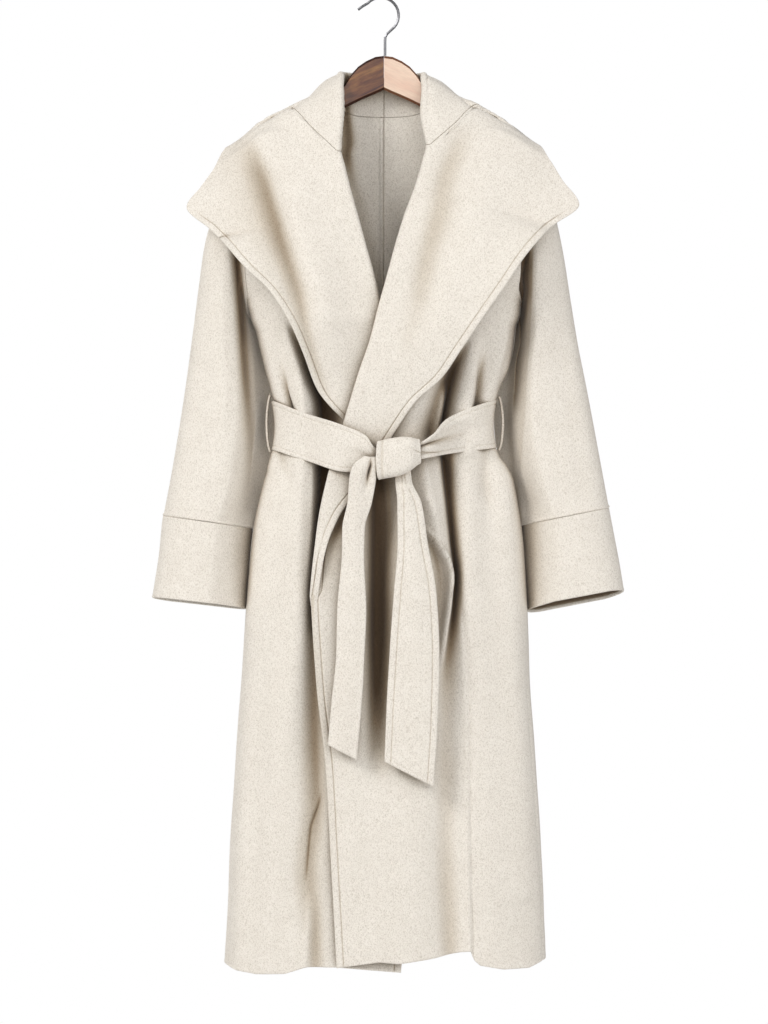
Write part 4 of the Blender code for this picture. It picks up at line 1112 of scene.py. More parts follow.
def folds_left(p, px, py):
    """Wearer's left front, on top, at the viewer's right."""
    # above the belt
    h = crease(px, py, [(330, 478, 0, 8, 7), (352, 475, 5, 8, 6), (376, 471, 8, 8, 5), (402, 468, 8, 8, 5), (430, 467, 6, 8, 6), (455, 470, 4, 8, 8)])
    h += crease(px, py, [(340, 483, 0, 4, 4), (362, 481, -5, 4, 4), (384, 479, -9, 3.6, 3.6), (410, 478, -9, 3.6, 3.6), (432, 480, -5, 4, 4), (455, 483, -4, 5, 6), (480, 485, -5, 6, 8), (510, 489, -2.5, 7, 9), (540, 492, 0, 7, 9)])
    h += crease(px, py, [(310, 506, 0, 9, 6), (340, 503, 4, 9, 5), (372, 494, 6, 8, 5), (402, 489, 6, 7, 6), (430, 492, 4, 8, 7)])
    h += crease(px, py, [(340, 468, 0, 10, 2.6), (352, 464, -12, 12, 3), (366, 460, -22, 14, 3.5), (384, 456, -27, 16, 4), (400, 452, -28, 18, 5), (420, 447, -28, 18, 6), (436, 444, -26, 16, 6), (452, 444, -20, 10, 7)])
    h += crease(px, py, [(384, 449, 0, 4, 4), (402, 445, 13, 4.5, 4.5), (426, 441, 16, 5, 5), (440, 440, 10, 5, 5), (455, 440, 0, 4, 4)])
    # below the belt, round the tails
    h += between_tails(px, py)
    h += crease(px, py, [(445, 418, 4, 8, 7), (480, 425, 9, 8, 7), (505, 431, 9, 8, 7), (528, 436, 7, 8, 6), (545, 440, 3, 7, 5), (556, 443, 0, 7, 5)])
    h += crease(px, py, [(440, 446, -17, 7, 7), (470, 448, -19, 6, 6.5), (510, 452, -17, 6, 5.5), (540, 454.5, -17, 5, 4.5), (577, 457.5, -17, 4, 4), (606, 456, -16, 4.4, 5), (640, 452, -13, 5, 7), (675, 449, -10, 8, 9), (760, 447, -7, 10, 11), (830, 447, -7, 12, 10), (900, 449, -8, 12, 9), (950, 451, -9, 12, 9), (975, 452, -9, 12, 9)])
    h += crease(px, py, [(526, 421, 0, 2, 2.4), (531.6, 426.2, 6, 3, 2.2), (540.5, 433.8, 9, 3.4, 2.2), (548.6, 440.9, 10, 3.4, 2.1), (558.4, 447.1, 10, 3, 1.9), (568.2, 450.7, 10, 2.4, 1.7), (577, 452, 10, 2.4, 1.7), (587, 451.2, 10, 2.4, 1.7), (606, 448.9, 9, 2.4, 1.8), (621, 446.6, 7, 2.4, 2), (640.6, 444.3, 4.4, 2.4, 2.2), (669, 440.9, 1, 2.4, 3), (690, 439, 0, 2.4, 3)])
    h += crease(px, py, [(534, 426, 0, 5, 4), (548, 433, -5, 5, 4), (562, 440, -7, 7, 4), (580, 444, -8, 9, 4), (606, 442, -7, 9, 4), (640, 439, -4, 8, 4), (680, 437, 0, 8, 5)])
    h += crease(px, py, [(440, 466, 3, 8, 9), (470, 467, 6, 8, 11), (560, 470, 6, 9, 13), (640, 474, 4, 12, 18), (800, 486, 3, 14, 22), (975, 495, 3, 16, 24)])
    h += crease(px, py, [(440, 503, 4, 9, 6), (500, 506, 5, 10, 8), (600, 512, 4, 12, 9), (750, 520, 2.5, 14, 10), (900, 524, 2, 16, 12)])
    # seam of the front panel, with its soft ridge
    seam = [(566, 459.5, 0, 1.1, 1.1), (594.5, 461.3, -1.2, 1.1, 1.1), (649.3, 466.3, -1.5, 1.1, 1.1), (720, 469.6, -1.5, 1.1, 1.1),
            (759, 469.8, -1.5, 1.1, 1.1), (869, 471.2, -1.5, 1.1, 1.1), (952, 472.9, -1.6, 1.1, 1.1), (975, 473.4, -1.6, 1.1, 1.1)]
    h += crease(px, py, seam)
    h += crease(px, py, [(y, x - 4, -0.5 * d, 2.2, 1.6) for y, x, d, a, b in seam])
    h += crease(px, py, [(640, 464, 0, 4, 4), (760, 466.5, 1.0, 4, 3.5), (860, 468, 1.8, 4, 3.2), (975, 470, 2.4, 4, 3)])
    h += crease(px, py, [(690, 402, 0, 26, 24), (780, 402, 1.6, 28, 26), (860, 400, 3.2, 34, 30), (975, 396, 4, 36, 30)])
    h += crease(px, py, [(600, 346, 0, 12, 12), (760, 349, 2, 12, 14), (975, 352, 1, 14, 14)])
    h += crease(px, py, [(650, 524.5, 0, 1, 1), (699, 526.3, -1.5, 1, 1), (759, 531, -1.7, 1, 1), (795, 533.6, -1.7, 1, 1), (861, 538.6, -1.7, 1, 1), (927, 541.8, -1.7, 1, 1), (970, 542.8, -1.7, 1, 1)])
    return h + 0.8 * wander(p, 110, 5) * ease((-260 - p[..., 2]) / 120)


def folds_back(p, px, py):
    """Both back panels: soft folds under the belt, mirrored unevenly."""
    h = crease(px, py, [(430, 330, 0, 9, 9), (480, 328, -7, 9, 9), (620, 322, -6, 12, 12), (800, 314, -4, 16, 16), (975, 308, -3, 18, 18)])
    h += crease(px, py, [(430, 300, 0, 8, 9), (500, 296, 5, 10, 10), (700, 286, 5, 14, 14), (975, 272, 4, 18, 18)])
    h += crease(px, py, [(430, 437, 0, 9, 8), (470, 439, -8, 9, 9), (600, 444, -6, 12, 12), (780, 452, -4, 15, 15), (975, 458, -3, 18, 18)])
    h += crease(px, py, [(430, 468, 0, 9, 9), (520, 474, 5, 11, 11), (760, 488, 4, 15, 15), (975, 498, 4, 18, 18)])
    h += crease(px, py, [(430, 392, 0, 10, 10), (520, 396, 4, 14, 12), (760, 404, 3, 18, 18), (975, 410, 3, 22, 20)])
    h += crease(px, py, [(250, 300, 0, 12, 12), (330, 306, -4, 12, 12), (395, 318, -6, 9, 9), (425, 326, -6, 8, 8)])
    h += crease(px, py, [(250, 470, 0, 12, 12), (330, 462, -4, 12, 12), (395, 452, -6, 9, 9), (425, 446, -6, 8, 8)])
    return h * ease((-300 - p[..., 2]) / 120) + 0.9 * wander(p, 120, 9) * ease((-230 - p[..., 2]) / 100)


def folds_lapel_right(p, px, py):
    """Fall of the wearer's right lapel, at the viewer's left."""
    fall = ease((py - 118) / 40) * (p[..., 1] < 0)
    h = crease(px, py, [(120, 243, 0, 14, 9), (151, 252, -5, 15, 10), (180, 264, -9, 17, 10), (208, 273, -10, 17, 9), (252, 288, -10, 15, 9), (292, 300, -8.5, 12, 8), (332, 308, -6, 9, 7), (371, 319, -4, 7, 6), (410, 334, 0, 6, 6)])
    h += crease(px, py, [(120, 276, 0, 14, 26), (160, 286, 5, 14, 28), (215, 298, 7, 13, 28), (270, 314, 7, 12, 24), (330, 330, 5, 10, 18), (380, 340, 2.5, 9, 12), (415, 345, 0, 8, 9)])
    return h * fall + 0.7 * wander(p, 90, 11) * ease((py - 90) / 60)


def folds_lapel_left(p, px, py):
    fall = ease((py - 118) / 40) * (p[..., 1] < 0)
    h = crease(px, py, [(118, 466, 0, 14, 18), (140, 459, -3, 12, 17), (180, 444, -5, 12, 18), (210, 439, -5.5, 12, 19), (252, 428, -5, 12, 18), (308, 417, -3.5, 12, 17), (360, 402, -2, 12, 14), (410, 390, 0, 12, 12)])
    h += crease(px, py, [(130, 500, 0, 16, 22), (190, 486, 4, 18, 26), (244, 472, 5, 18, 24), (300, 450, 4, 15, 20), (350, 428, 2, 14, 16), (400, 405, 0, 12, 12)])
    # the end below the belt
    h += crease(px, py, [(430, 371, 0, 10, 10), (450, 371, -3, 12, 12), (480, 371, -12, 14, 14), (520, 375, -22, 12, 16), (560, 377, -22, 10, 16)]) * ease((py - 440) / 30)
    return h * fall + 0.7 * wander(p, 90, 13) * ease((py - 90) / 60)


def shade_lapel_right(p, px, py):
    h = crease(px, py, [(128, 244, 0, 12, 10), (151, 252, -0.2, 26, 10), (180, 262, -0.27, 32, 10), (208, 269, -0.29, 32, 10), (252, 283, -0.27, 24, 9), (292, 297, -0.22, 16, 8), (332, 306, -0.2, 9, 6), (371, 317, -0.16, 7, 5), (410, 333, 0, 6, 5)])
    return -h * (p[..., 1] < 0)


def shade_lapel_left(p, px, py):
    h = crease(px, py, [(122, 464, 0, 12, 14), (140, 459, -0.14, 12, 14), (180, 444, -0.2, 12, 14), (210, 439, -0.2, 12, 14), (252, 428, -0.18, 11, 13), (308, 417, -0.12, 11, 12), (360, 402, 0, 11, 12)])
    return -h * (p[..., 1] < 0)


def bump(z, centre, half):
    return np.exp(-((z - centre) / (half * 0.62)) ** 4)


def under_roll(p, px, py, up):
    """Deep shadow beside the roll of the collar at the viewer's left."""
    return -crease(px, py, [(60, 340, -0.9, 9, 6), (73, 341, -0.98, 9, 7), (93.5, 344, -0.98, 9, 6), (116, 347, -0.95, 9, 5), (142, 349, -0.9, 9, 6), (155, 347, -0.9, 8, 6), (167, 349, -0.7, 8, 6),
                            (184, 352.5, -0.45, 7, 6), (197, 357, -0.35, 7, 7), (221, 362, -0.28, 7, 8), (257, 372, -0.25, 7, 8), (296, 383, -0.25, 7, 8)])


def on_stand(p, px, py):
    """The same shadow on the neck side of the collar's stand, its first 6 cm."""
    across = 2.8 * np.arange(p.shape[1])[None, :]
    return under_roll(p, px, py, 0) * ease((px - 343.5) / 3) * ease((p[..., 1] + 24) / 8) * ease((62 - across) / 16)


def off_shoulder(px, py):
    """The edge's groove starts at the lapel's corner."""
    return 0.12 + 0.88 * ease((py - 206) / 16)


def underarm(p, px, py):
    """The panels' sides reach the sleeves under the arms."""
    right = ease((-p[..., 0] - 140) / 40) * (bump(p[..., 2], -395, 60) * 2.6 + bump(p[..., 2], -438, 34) * 5.5)
    left = ease((p[..., 0] - 145) / 45) * bump(p[..., 2], -432, 34) * 6.0
    left = left + ease((p[..., 0] - 150) / 40) * bump(p[..., 2], -795, 110) * 1.6
    right = right + ease((-p[..., 0] - 110) / 40) * bump(p[..., 2], -642, 30) * 4.0
    left = left + ease((p[..., 0] - 115) / 45) * bump(p[..., 2], -640, 30) * 4.5
    # drawn in under the belt
    right = right - ease((-p[..., 0] - 105) / 40) * bump(p[..., 2], -594, 52) * 6.0
    left = left - ease((p[..., 0] - 115) / 40) * bump(p[..., 2], -590, 52) * 3.0
    return vec(left - right, 0, 0)


def hem_line(p, px, rows):
    """Sets the hem's own line, fading out over the cloth above it."""
    xs, ys = zip(*rows)
    low = p[0, :, 2]
    w = ease(1 - (p[..., 2] - low) / 170.0)
    return vec(0 * w, 0 * w, (-(np.interp(px[0], xs, ys) + 1.1) * 1.4 - low) * w)


HEM_RIGHT = [(226, 961.5), (238, 967), (256, 970.4), (285, 969.6), (306, 963), (337, 963), (400, 968)]
HEM_LEFT = [(336, 963), (343, 962), (380, 957), (399, 958.8), (433, 953.8), (461, 948), (471, 947.2), (474, 956),
            (480, 961.3), (503, 965.4), (529, 964.6), (542, 958.8), (547, 957)]
HEM_BACK = [(226, 961.5), (250, 960), (300, 956), (380, 950), (430, 943), (474, 940), (500, 950), (530, 956), (547, 957)]


def shade_front(p, px, py):
    """The deepest gaps lie in their own shade."""
    h = crease(px, py, [(446, 448, -0.9, 8, 8), (462, 449, -0.75, 8, 7), (500, 452, -0.5, 7, 5), (540, 456, -0.5, 5, 4), (577, 458, -0.6, 4.5, 4.5), (606, 456, -0.55, 5, 5), (640, 452, -0.3, 6, 8), (690, 449, 0, 8, 9)], power=3.0)
    h += crease(px, py, [(508, 346, -0.5, 3, 5), (525, 339, -0.9, 4, 8), (541, 332, -0.6, 5, 10), (560, 326, -0.35, 4, 10), (590, 322, -0.1, 4, 10), (610, 320, 0, 4, 8)])
    h += crease(px, py, [(600, 312, 0, 6, 6), (660, 313, -0.22, 7, 7), (740, 315, -0.26, 9, 9), (790, 319, -0.2, 10, 12), (830, 320, -0.16, 8, 14), (880, 317, -0.14, 9, 12), (930, 316, -0.14, 8, 9), (975, 316, -0.14, 8, 9)])
    h += crease(px, py, [(794, 320.6, 0, 1.4, 1.4), (804, 318, -0.3, 1.3, 1.3), (828, 309.6, -0.36, 1.4, 1.4), (853, 307, -0.36, 1.4, 1.4), (872, 305.4, -0.22, 1.4, 1.4), (884, 304.6, 0, 1.4, 1.4)])
    h += crease(px, py, [(436, 322, -0.3, 7, 9), (465, 322, -0.5, 6, 7), (520, 318.5, -0.5, 4.5, 5), (560, 315.5, -0.45, 3, 3.5), (600, 312.6, -0.35, 2, 2), (640, 312, 0, 2, 2)], power=3.0)
    h += crease(px, py, [(530, 427, 0, 3, 3), (545, 433, -0.35, 4, 3.4), (560, 437, -0.3, 5, 4), (590, 440, -0.15, 6, 4), (640, 441, 0, 6, 4)])
    return -h


put(cloth("wool_front_right", front(FRONT_RIGHT, -1, False, LAPEL_RIGHT), ("hem", "plain", "sewn", "free"),
                                 step=2.4, row_step=5.0, relief=folds_right, shift=lambda p, px, py: underarm(p, px, py) + hem_line(p, px, HEM_RIGHT), paint_shade=shade_front),
                           ["front_right"])
put(cloth("wool_front_left", front(FRONT_LEFT, 1, True, LAPEL_LEFT), ("hem", "plain", "sewn", "free"),
                                step=2.35, row_step=4.3, relief=folds_left,
                                shift=lambda p, px, py: underarm(p, px, py) + hem_line(p, px, HEM_LEFT), paint_shade=shade_front), ["front_left"])
put(cloth("wool_back_left", back(1), ("hem", "joined", "sewn", "joined"), step=3.4, row_step=6.5,
                               out=(0, 1, 0), relief=folds_back, inner=0.5,
                               shift=lambda p, px, py: underarm(p, px, py) + hem_line(p, px, HEM_BACK)), ["back_left"], material=WOOL_WEAK_SHADE)
put(cloth("wool_back_right", back(-1), ("hem", "joined", "sewn", "felled"), step=3.4, row_step=6.5, inside=under_roll,
                                out=(0, 1, 0), relief=folds_back, inner=2.4,
                                shift=lambda p, px, py: underarm(p, px, py) + hem_line(p, px, HEM_BACK)), ["back_right"], material=WOOL_WEAK_SHADE)
put(cloth("wool_lapel_right", lapel_right, ("plain", "sewn", "plain", "free"), step=2.8, row_step=3.6,
                                 relief=folds_lapel_right, keep=off_shoulder, paint_shade=shade_lapel_right), ["lapel_right"])
def run_out(p, px, py):
    """The lower end of the lapel runs down into the front's own edge."""
    e = ease((py - 535) / 52)
    return vec(-2.6 * e, 11.0 * ease((py - 552) / 42), -22 * e)


put(cloth("wool_lapel_left", lapel_left, ("taper", "sewn", "plain", "free"), step=2.8, row_step=3.8,
                                shift=run_out, relief=folds_lapel_left, keep=off_shoulder, paint_shade=shade_lapel_left), ["lapel_left"])


def from_axis(p):
    d = p - np.array([CENTRE, 0, 0])
    d[..., 2] = 20.0
    return d


put(cloth("wool_collar_left", collar(COLLAR_LEFT, 2 / 15, 5 / 15, lapel_left), ("sewn", "sewn", "joined", "free"),
                                 step=2.8, row_step=3.2, out=from_axis), ["collar_left"])
put(cloth("wool_collar_right", collar(COLLAR_RIGHT, 2 / 15, 5 / 15, lapel_right), ("sewn", "sewn", "joined", "free"),
                                  paint_shade=on_stand,
                                  step=2.8, row_step=3.2, out=from_axis), ["collar_right"])


# ------------------------------------------------------------------- sleeves
def around(rows):
    def hint(p):
        x = (at(rows, "out_z", "out_x", p[..., 2]) + at(rows, "in_z", "in_x", p[..., 2])) / 2
        return vec(p[..., 0] - x, p[..., 1] + 6, 0)
    return hint


def folds_sleeve_right(p, px, py):
    h = crease(px, py, [(225, 235, -6, 5, 7), (262, 237, -13, 5, 7), (310, 240, -13, 5, 7), (350, 242.5, -11, 5.5, 7), (390, 245.5, -9, 6, 7), (430, 249, -6, 7, 7), (470, 252, -4, 8, 7), (516, 254, -2, 8, 7)])
    h += crease(px, py, [(262, 248, 0, 3, 3), (290, 249, 3, 3.5, 4), (330, 251, 5, 3.5, 4), (370, 254, 4, 3.5, 4), (410, 257, 2, 4, 4), (440, 259, 0, 4, 4)])
    h += crease(px, py, [(262, 222, 0, 12, 7), (310, 222, 4, 13, 7), (390, 224, 5, 15, 8), (470, 222, 3, 18, 10), (520, 218, 1, 18, 12)])
    h += crease(px, py, [(330, 205, 0, 8, 8), (400, 200, -1.6, 8, 8), (480, 192, -1.4, 9, 9), (520, 188, 0, 9, 9)])
    return np.where(p[..., 1] < -4, h, 0.45 * h) + 0.9 * wander(p, 90, 21)


def folds_sleeve_left(p, px, py):
    h = crease(px, py, [(225, 531, -4, 12, 5), (262, 525, -12, 14, 4.5), (300, 522, -13, 13, 5.5), (340, 519, -11, 12, 6), (380, 516, -9, 11, 6.5), (420, 513, -7, 10, 6.5), (470, 510, -5, 9, 7), (520, 512, -3, 9, 7)])
    h += crease(px, py, [(240, 540, 0, 6, 14), (263, 538, 5, 5, 14), (310, 537, 6, 5, 16), (360, 535, 5, 6, 18), (420, 533, 3, 7, 18), (500, 534, 0, 9, 18)])
    h += crease(px, py, [(395, 514, 0, 4, 4), (425, 516, 5, 3.5, 4.5), (470, 521, 6, 4, 5), (520, 524, 3, 4, 6)])
    h += crease(px, py, [(300, 558, 0, 9, 9), (380, 566, -2, 10, 10), (470, 580, -2, 11, 10), (520, 586, 0, 11, 10)])
    return np.where(p[..., 1] < -4, h, 0.45 * h) + 0.9 * wander(p, 90, 23)


def shade_sleeve_right(p, px, py):
    """The valley beside the body lies in its own shade."""
    return -crease(px, py, [(222, 235, -0.3, 4, 6), (262, 237, -0.62, 4.5, 6), (310, 240, -0.6, 5, 6), (350, 242.5, -0.5, 5, 6.5), (390, 245.5, -0.42, 6, 7), (430, 249, -0.3, 7, 7), (480, 252, -0.15, 8, 7), (520, 254, 0, 8, 7)]) * (p[..., 1] < -2)


def shade_sleeve_left(p, px, py):
    near = -crease(px, py, [(300, 519, -0.6, 4, 5), (315, 517, -0.75, 4, 5), (331, 514.5, -0.7, 4, 5), (360, 509.5, -0.6, 4, 5), (386, 502, -0.6, 4, 6), (420, 499, -0.6, 4, 7), (450, 503, -0.65, 3, 6), (469, 510.5, -0.7, 3, 4), (500, 517, -0.75, 3, 3.4), (524, 520, -0.7, 3, 3)])
    step = -crease(px, py, [(246, 533.5, -0.4, 6, 1.1), (263, 533, -0.45, 7, 1.1), (296, 532, -0.4, 7, 1.1), (334, 530, -0.3, 7, 1.1), (372, 527.3, -0.25, 6, 1.1), (410, 525.4, -0.22, 5, 1.1), (440, 523, -0.2, 5, 1.2), (468, 520.6, -0.14, 4, 1.2), (500, 519, 0, 4, 1.2)])
    h = -crease(px, py, [(250, 527, -0.7, 20, 5), (268, 524, -1.3, 20, 7), (290, 522, -1.3, 18, 8), (310, 520, -1.0, 18, 8), (330, 518, -0.65, 16, 8), (370, 516, -0.45, 14, 7), (420, 512, -0.4, 12, 8), (470, 508, -0.35, 10, 8), (520, 510, 0, 9, 8)])
    return np.maximum(h, near * 1.0) * ease((20 - p[..., 1]) / 13) + step * (p[..., 1] < 10)


def tuck_sleeve_left(p, px, py):
    """The sleeve meets the side panels under the arm."""
    return vec(-ease((216 - p[..., 0]) / 18) * bump(p[..., 2], -376, 42) * 4.5, 0, 0)


put(cloth("wool_sleeve_right", tube(SLEEVE_RIGHT, -1, armhole(-1)), ("sewn", "ridged", None, None), step=2.6,
                                  row_step=4.2, loop=True, out=around(SLEEVE_RIGHT), relief=folds_sleeve_right, push="y",
                                  paint_shade=shade_sleeve_right), ["sleeve_right"], material=WOOL_WEAK_SHADE)
put(cloth("wool_sleeve_left", tube(SLEEVE_LEFT, 1, armhole(1)), ("sewn", "ridged", None, None), step=2.6,
                                 row_step=4.2, loop=True, out=around(SLEEVE_LEFT), relief=folds_sleeve_left, push="y", shift=tuck_sleeve_left,
                                 paint_shade=shade_sleeve_left), ["sleeve_left"], material=WOOL_WEAK_SHADE)


def cuff_open(rows, front_up, back_down):
    """The front of the cuff's hem stands higher than its back."""
    top = rows["in_z"][0]

    def move(p, px, py):
        y = at(rows, "in_z", "y", p[..., 2])
        low = ease((top - p[..., 2]) / 110.0)
        way = np.clip((y - p[..., 1]) / 30.0, -1, 1)
        z = np.where(way > 0, front_up * way, back_down * way) * low
        return vec(0 * z, 0 * z, z)
    return move


def cuff_painted_shade(p, px, py, up):
    """Painted shade inside the cuff above its hem's turning; the turning itself stays light."""
    return 0.95 * ease((up - 2.5) / 3)


put(cloth("wool_cuff_right", tube(CUFF_RIGHT, -1), ("joined", "hem", None, None), step=2.8, row_step=3.6, loop=True,
                                out=around(CUFF_RIGHT), shift=cuff_open(CUFF_RIGHT, 2.0, 3.0), inside=cuff_painted_shade,
                                relief=lambda p, px, py: 0.8 * wander(p, 80, 31)), ["cuff_right"])
put(cloth("wool_cuff_left", tube(CUFF_LEFT, 1), ("joined", "hem", None, None), step=2.8, row_step=3.6, loop=True,
                               out=around(CUFF_LEFT), shift=cuff_open(CUFF_LEFT, 5.0, 7.0), inside=cuff_painted_shade,
                               relief=lambda p, px, py: 0.8 * wander(p, 80, 33)), ["cuff_left"])


# ---------------------------------------------------------------------- belt
def folds_belt(p, px, py):
    on_front = p[..., 1] < -20
    h = crease(px, py, [(418, 446.5, -6, 2.6, 3), (428, 443.5, -6.5, 2.4, 3), (440, 440, -5, 2.6, 4), (455, 435.5, -3, 3.4, 5.5), (480, 429, -1.4, 5, 7), (494, 427, 0, 5, 7)], along="x")
    h += crease(px, py, [(418, 452, -3, 2.4, 2.6), (435, 452.5, -2.6, 2.6, 2.6), (455, 450, -1.6, 3, 3), (480, 447, 0, 3, 3)], along="x")
    h += crease(px, py, [(418, 440, 2, 2.6, 2.6), (430, 435, 3.6, 3, 3), (445, 427, 4, 4, 4.5), (462, 419, 3, 5, 6), (485, 411, 0, 6, 8)], along="x")
    h += crease(px, py, [(330, 447, 0, 6, 6), (352, 452, -1.4, 6, 6), (372, 461, -3, 5, 5), (384, 465, -3, 5, 5)], along="x")
    h += crease(px, py, [(300, 428, 0, 10, 10), (330, 437, 1.6, 10, 10), (375, 452, 2, 8, 7)], along="x")
    return np.where(on_front, h, 0) + 0.5 * wander(p, 70, 41)


def shade_belt(p, px, py):
    h = crease(px, py, [(418, 446.5, -0.75, 1.5, 1.7), (428, 443.8, -0.7, 1.4, 1.7), (438, 440.5, -0.45, 1.3, 2), (450, 437, -0.2, 2, 4), (470, 432, 0, 3, 5)], along="x")
    h += crease(px, py, [(418, 452.5, -0.4, 1.2, 1.2), (432, 452.5, -0.3, 1.2, 1.2), (450, 450.5, 0, 1.5, 1.5)], along="x")
    return -h * (p[..., 1] < -20)


put(cloth("wool_belt_band", belt_band(), ("plain", "plain", "edge", "edge"), step=2.4, row_step=3.0,
                               thick=BELT_THICK, out=lambda p: p - np.array([CENTRE, WIDEST, 0]) * 1.0 + vec(0, 0, -p[..., 2]),
                               shift=lambda p, px, py: vec(5.5 * ease((-p[..., 0] - 105) / 45) - 2.5 * ease((p[..., 0] - 120) / 45), 0, 0),
                               relief=folds_belt, paint_shade=shade_belt), ["belt_band"])


def knot_folds(p, px, py):
    front_side = ease((-96 - p[..., 1]) / 8)
    h = crease(px, py, [(430, 383, -1.6, 1.3, 1.3), (490, 383, -1.6, 1.3, 1.3)])
    h += crease(px, py, [(430, 379.5, 0.9, 2, 1.6), (490, 379.5, 0.9, 2, 1.6)])
    h += crease(px, py, [(430, 402, 1.6, 11, 13), (490, 402, 1.6, 11, 13)])
    h += crease(px, py, [(438, 398, 0, 3, 3), (444, 404, -1.6, 3, 2.6), (449, 412, -2.4, 3, 2.6), (453, 420, -2.6, 3, 3)], power=1.6)
    h += crease(px, py, [(447, 384, 0, 4, 3), (456, 388, -1.2, 4, 3), (464, 397, -1.4, 4, 3), (470, 408, 0, 4, 3)])
    return h * front_side + 0.5 * wander(p, 36, 43)


def knot_round(p, px, py):
    """Bowed ends: the left one bulges, the right one is rounded off."""
    u = (p[..., 2] + 645) / 30.0
    w = (p[..., 0] - 27) / 30.0
    left = ease((14 - p[..., 0]) / 18) * (-2.5 * (1 - u * u))
    right = ease((p[..., 0] - 34) / 20) * (1.5 * (1 - u * u))
    front = p[..., 1] < -96
    back_in = ease((p[..., 0] - 40) / 14) * 5.0 * front + 4.0 * np.clip(np.abs(u), 0, 1) ** 3 * front
    return vec(left + right, back_in, -2.5 * np.clip(w, -1, 1) ** 2 * np.sign(u) * np.abs(u))


# Painted shade along the knot's stitched groove, on its front.
put(cloth("wool_belt_knot", knot(), ("hem", "hem", None, None), step=1.8, row_step=1.9, thick=BELT_THICK, loop=True,
                               out=lambda p: vec(0, p[..., 1] + 97, p[..., 2] + 645), shift=knot_round, relief=knot_folds,
                               paint_shade=lambda p, px, py: -crease(px, py, [(430, 383, -0.3, 0.9, 0.9), (490, 383, -0.3, 0.9, 0.9)]) * (p[..., 1] < -96)), ["belt_knot"])

TAIL_RIGHT_SHOWN = table("z left right y", [
    (-642, -24, -3, -101), (-655, -39, -5, -103), (-669, -43, -6, -101), (-705, -46, -12, -97), (-740, -53, -22, -97),
    (-780, -54, -23, -97), (-850, -60, -20, -97), (-920, -62, -23, -97),
    (-980, -68, -27, -98), (-1040, -73, -33, -99),
])
TAIL_LEFT_SHOWN = table("z left right y", [
    (-655, 19, 41, -95), (-676, 20, 43, -92), (-705, 23, 56, -95), (-760, 23, 65, -97),
    (-830, 18, 77, -98), (-900, 13, 81, -98), (-985, 8, 79, -98),
    (-1063, 5, 73, -99),
])


def folds_tail_right(p, px, py):
    h = crease(px, py, [(455, 371, 0, 3, 3), (463, 371, -6, 2.4, 2.4), (470, 369.5, -12, 2.2, 2.2), (477, 367.5, -7, 2.2, 3), (495, 365, 0, 3, 5)])
    h += crease(px, py, [(462, 362, 0, 4, 4), (476, 360, 2.5, 4, 3), (500, 357, 2.0, 5, 5), (560, 354, 1, 8, 8), (620, 352, 0, 8, 8)])
    return h + 0.9 * wander(p, 80, 51)


def folds_tail_left(p, px, py):
    h = crease(px, py, [(465, 402, 0, 6, 6), (486, 404, 2.5, 5, 6), (540, 410, 2.5, 7, 9), (640, 416, 1.2, 12, 12), (780, 412, 0, 14, 14)])
    h += crease(px, py, [(500, 398, 0, 3, 3), (540, 399, -0.8, 3, 3), (620, 396, 0, 3, 3)])
    return h + 0.9 * wander(p, 80, 53)


put(cloth("wool_belt_tail_right", strip(TAIL_RIGHT_SHOWN, TAIL_SLANT_RIGHT), ("plain", "edge", "edge", "edge"),
                                     step=2.4, row_step=3.0, thick=BELT_THICK, relief=folds_tail_right, sharp=0.3), ["belt_tail_right"])
put(cloth("wool_belt_tail_left", strip(TAIL_LEFT_SHOWN, TAIL_SLANT_LEFT), ("plain", "edge", "free", "free"),
                                    step=2.4, row_step=3.0, thick=BELT_THICK, relief=folds_tail_left, sharp=0.8), ["belt_tail_left"])
put(cloth("wool_belt_loop_left", belt_loop(164.5, 170.5, -557, -632), ("plain", "plain", "hem", "hem"), step=1.5,
                                    row_step=3.0, thick=3.4, out=(1, 0, 0)), ["belt_loop_left"])
put(cloth("wool_belt_loop_right", belt_loop(-154, -159.5, -555, -634), ("plain", "plain", "hem", "hem"),
                                     step=1.5, row_step=3.0, thick=3.0, out=(-1, 0, 0)), ["belt_loop_right"])

# -------------------------------------------------------------------- hanger
# One varnished wood in two copies: the wing at the wearer's right with painted shade, the one at the left with painted
# glare; the grain is the wood's own.
WOOD_PAINTED_SHADE = wood("hanger_wood_painted_shade", (0.27, 0.125, 0.036), (0.17, 0.060, 0.020), (0.062, 0.012, 0.007), 25, 0.3)
WOOD_PAINTED_GLARE = wood("hanger_wood_painted_glare", (0.80, 0.60, 0.46), (0.77, 0.55, 0.42), (0.73, 0.49, 0.37), -25, 0.08)
HOOK_METAL = metal("hanger_hook_metal")
for node, material in (("hanger_wing_right", WOOD_PAINTED_SHADE), ("hanger_wing_left", WOOD_PAINTED_GLARE), ("hanger_hook", HOOK_METAL)):
    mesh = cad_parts[node].data
    mesh.materials.clear()
    mesh.materials.append(material)
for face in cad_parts["hanger_hook"].data.polygons:
    face.use_smooth = True

# ------------------------------------------------------- triangle count
print("TRIANGLES", sum(TRIANGLES.values()))

# --------------------------------------------------------------- the setting
def area_light(name, at_point, look, size, watts, colour=(1, 1, 1)):
    data = bpy.data.lights.new(name, "AREA")
    data.shape = "RECTANGLE"
    data.size, data.size_y = size
    data.energy = watts
    data.color = colour
    obj = bpy.data.objects.new(name, data)
    obj.location = at_point
    obj.rotation_euler = (Vector(look) - Vector(at_point)).to_track_quat("-Z", "Y").to_euler()
    bpy.context.scene.collection.objects.link(obj)
    return obj


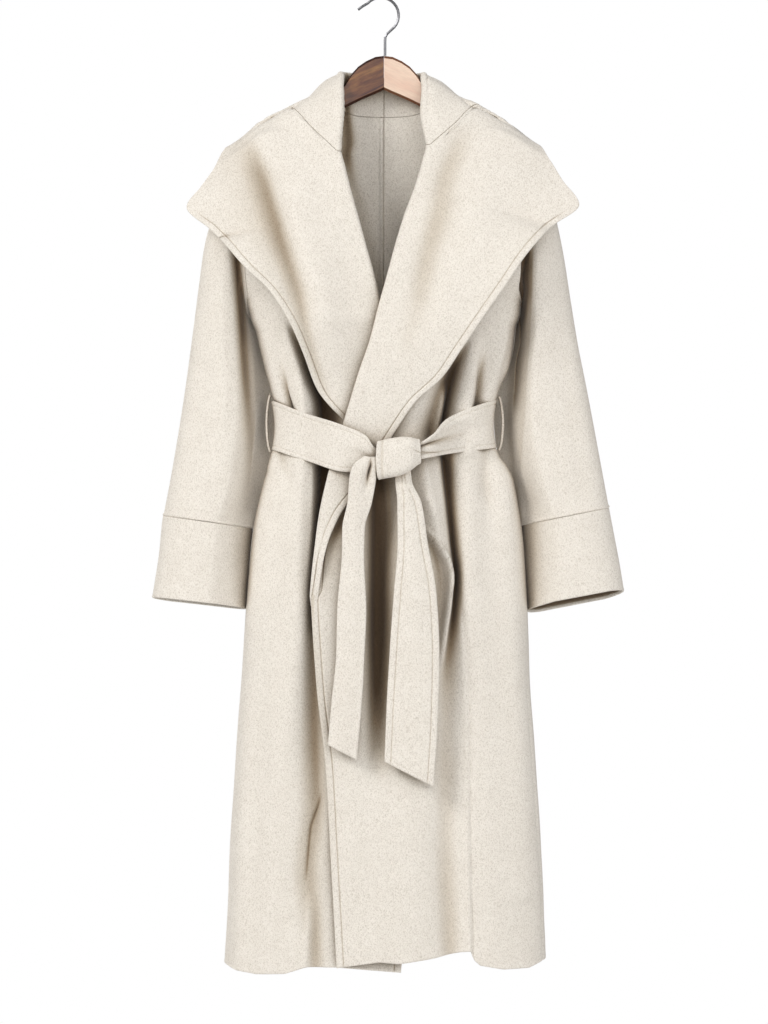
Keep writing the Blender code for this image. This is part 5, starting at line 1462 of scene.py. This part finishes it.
area_light("key", (-2.9, -2.7, 1.7), (0, 0, -0.65), (1.3, 1.3), 90, (1.0, 0.99, 0.975))
area_light("front_fill", (0.6, -4.4, 0.2), (0, 0, -0.7), (3.0, 3.0), 48, (0.985, 0.99, 1.0))
area_light("right_fill", (3.0, -2.4, 0.3), (0, 0, -0.75), (2.4, 2.4), 30, (0.985, 0.985, 1.0))
area_light("back_fill", (-1.4, 3.6, 0.8), (0, 0, -0.7), (3.0, 3.0), 110, (1, 1, 1))

world = bpy.data.worlds.new("studio")
bpy.context.scene.world = world
world.use_nodes = True
wt = world.node_tree
wt.nodes.clear()
seen, fill = wt.nodes.new("ShaderNodeBackground"), wt.nodes.new("ShaderNodeBackground")
seen.inputs["Color"].default_value = (1, 1, 1, 1)
seen.inputs["Strength"].default_value = 1.0
fill.inputs["Color"].default_value = (1, 1, 1, 1)
wt_coords, wt_split, wt_range = (wt.nodes.new(k) for k in ("ShaderNodeTexCoord", "ShaderNodeSeparateXYZ", "ShaderNodeMapRange"))
wt.links.new(wt_coords.outputs["Generated"], wt_split.inputs["Vector"])
wt.links.new(wt_split.outputs["Y"], wt_range.inputs["Value"])
for key, value in (("From Min", -0.3), ("From Max", 0.6), ("To Min", 0.46), ("To Max", 0.12)):
    wt_range.inputs[key].default_value = value
wt.links.new(wt_range.outputs["Result"], fill.inputs["Strength"])
ray, blend, target = wt.nodes.new("ShaderNodeLightPath"), wt.nodes.new("ShaderNodeMixShader"), wt.nodes.new("ShaderNodeOutputWorld")
wt.links.new(ray.outputs["Is Camera Ray"], blend.inputs["Fac"])
wt.links.new(fill.outputs["Background"], blend.inputs[1])
wt.links.new(seen.outputs["Background"], blend.inputs[2])
wt.links.new(blend.outputs["Shader"], target.inputs["Surface"])

floor_mesh = bpy.data.meshes.new("floor")
floor_mesh.from_pydata([(-2.6, -2.6, -1.75), (2.6, -2.6, -1.75), (2.6, 2.6, -1.75), (-2.6, 2.6, -1.75)], [], [(0, 1, 2, 3)])
floor = bpy.data.objects.new("floor", floor_mesh)
bpy.context.scene.collection.objects.link(floor)
floor_material, tree, shader = nodes_of("floor_pale")
tree.links.new(ramp(tree, noise(tree, 3.0, 2.0, 0.5), [(0.3, (0.78, 0.775, 0.765)), (0.7, (0.82, 0.815, 0.805))]), shader.inputs["Base Color"])
shader.inputs["Roughness"].default_value = 0.8
floor_mesh.materials.append(floor_material)

camera_data = bpy.data.cameras.new("camera")
camera_data.sensor_fit = "VERTICAL"
camera_data.sensor_height = 36.0
camera_data.lens = 36.0 * EYE / (1024 * PIXEL)
camera = bpy.data.objects.new("camera", camera_data)
camera.location = (AIM_X * MM, -EYE * MM, AIM_Z * MM)
camera.rotation_euler = (math.pi / 2, 0, 0)
bpy.context.scene.collection.objects.link(camera)
bpy.context.scene.camera = camera

bpy.context.scene.view_settings.view_transform = "Standard"
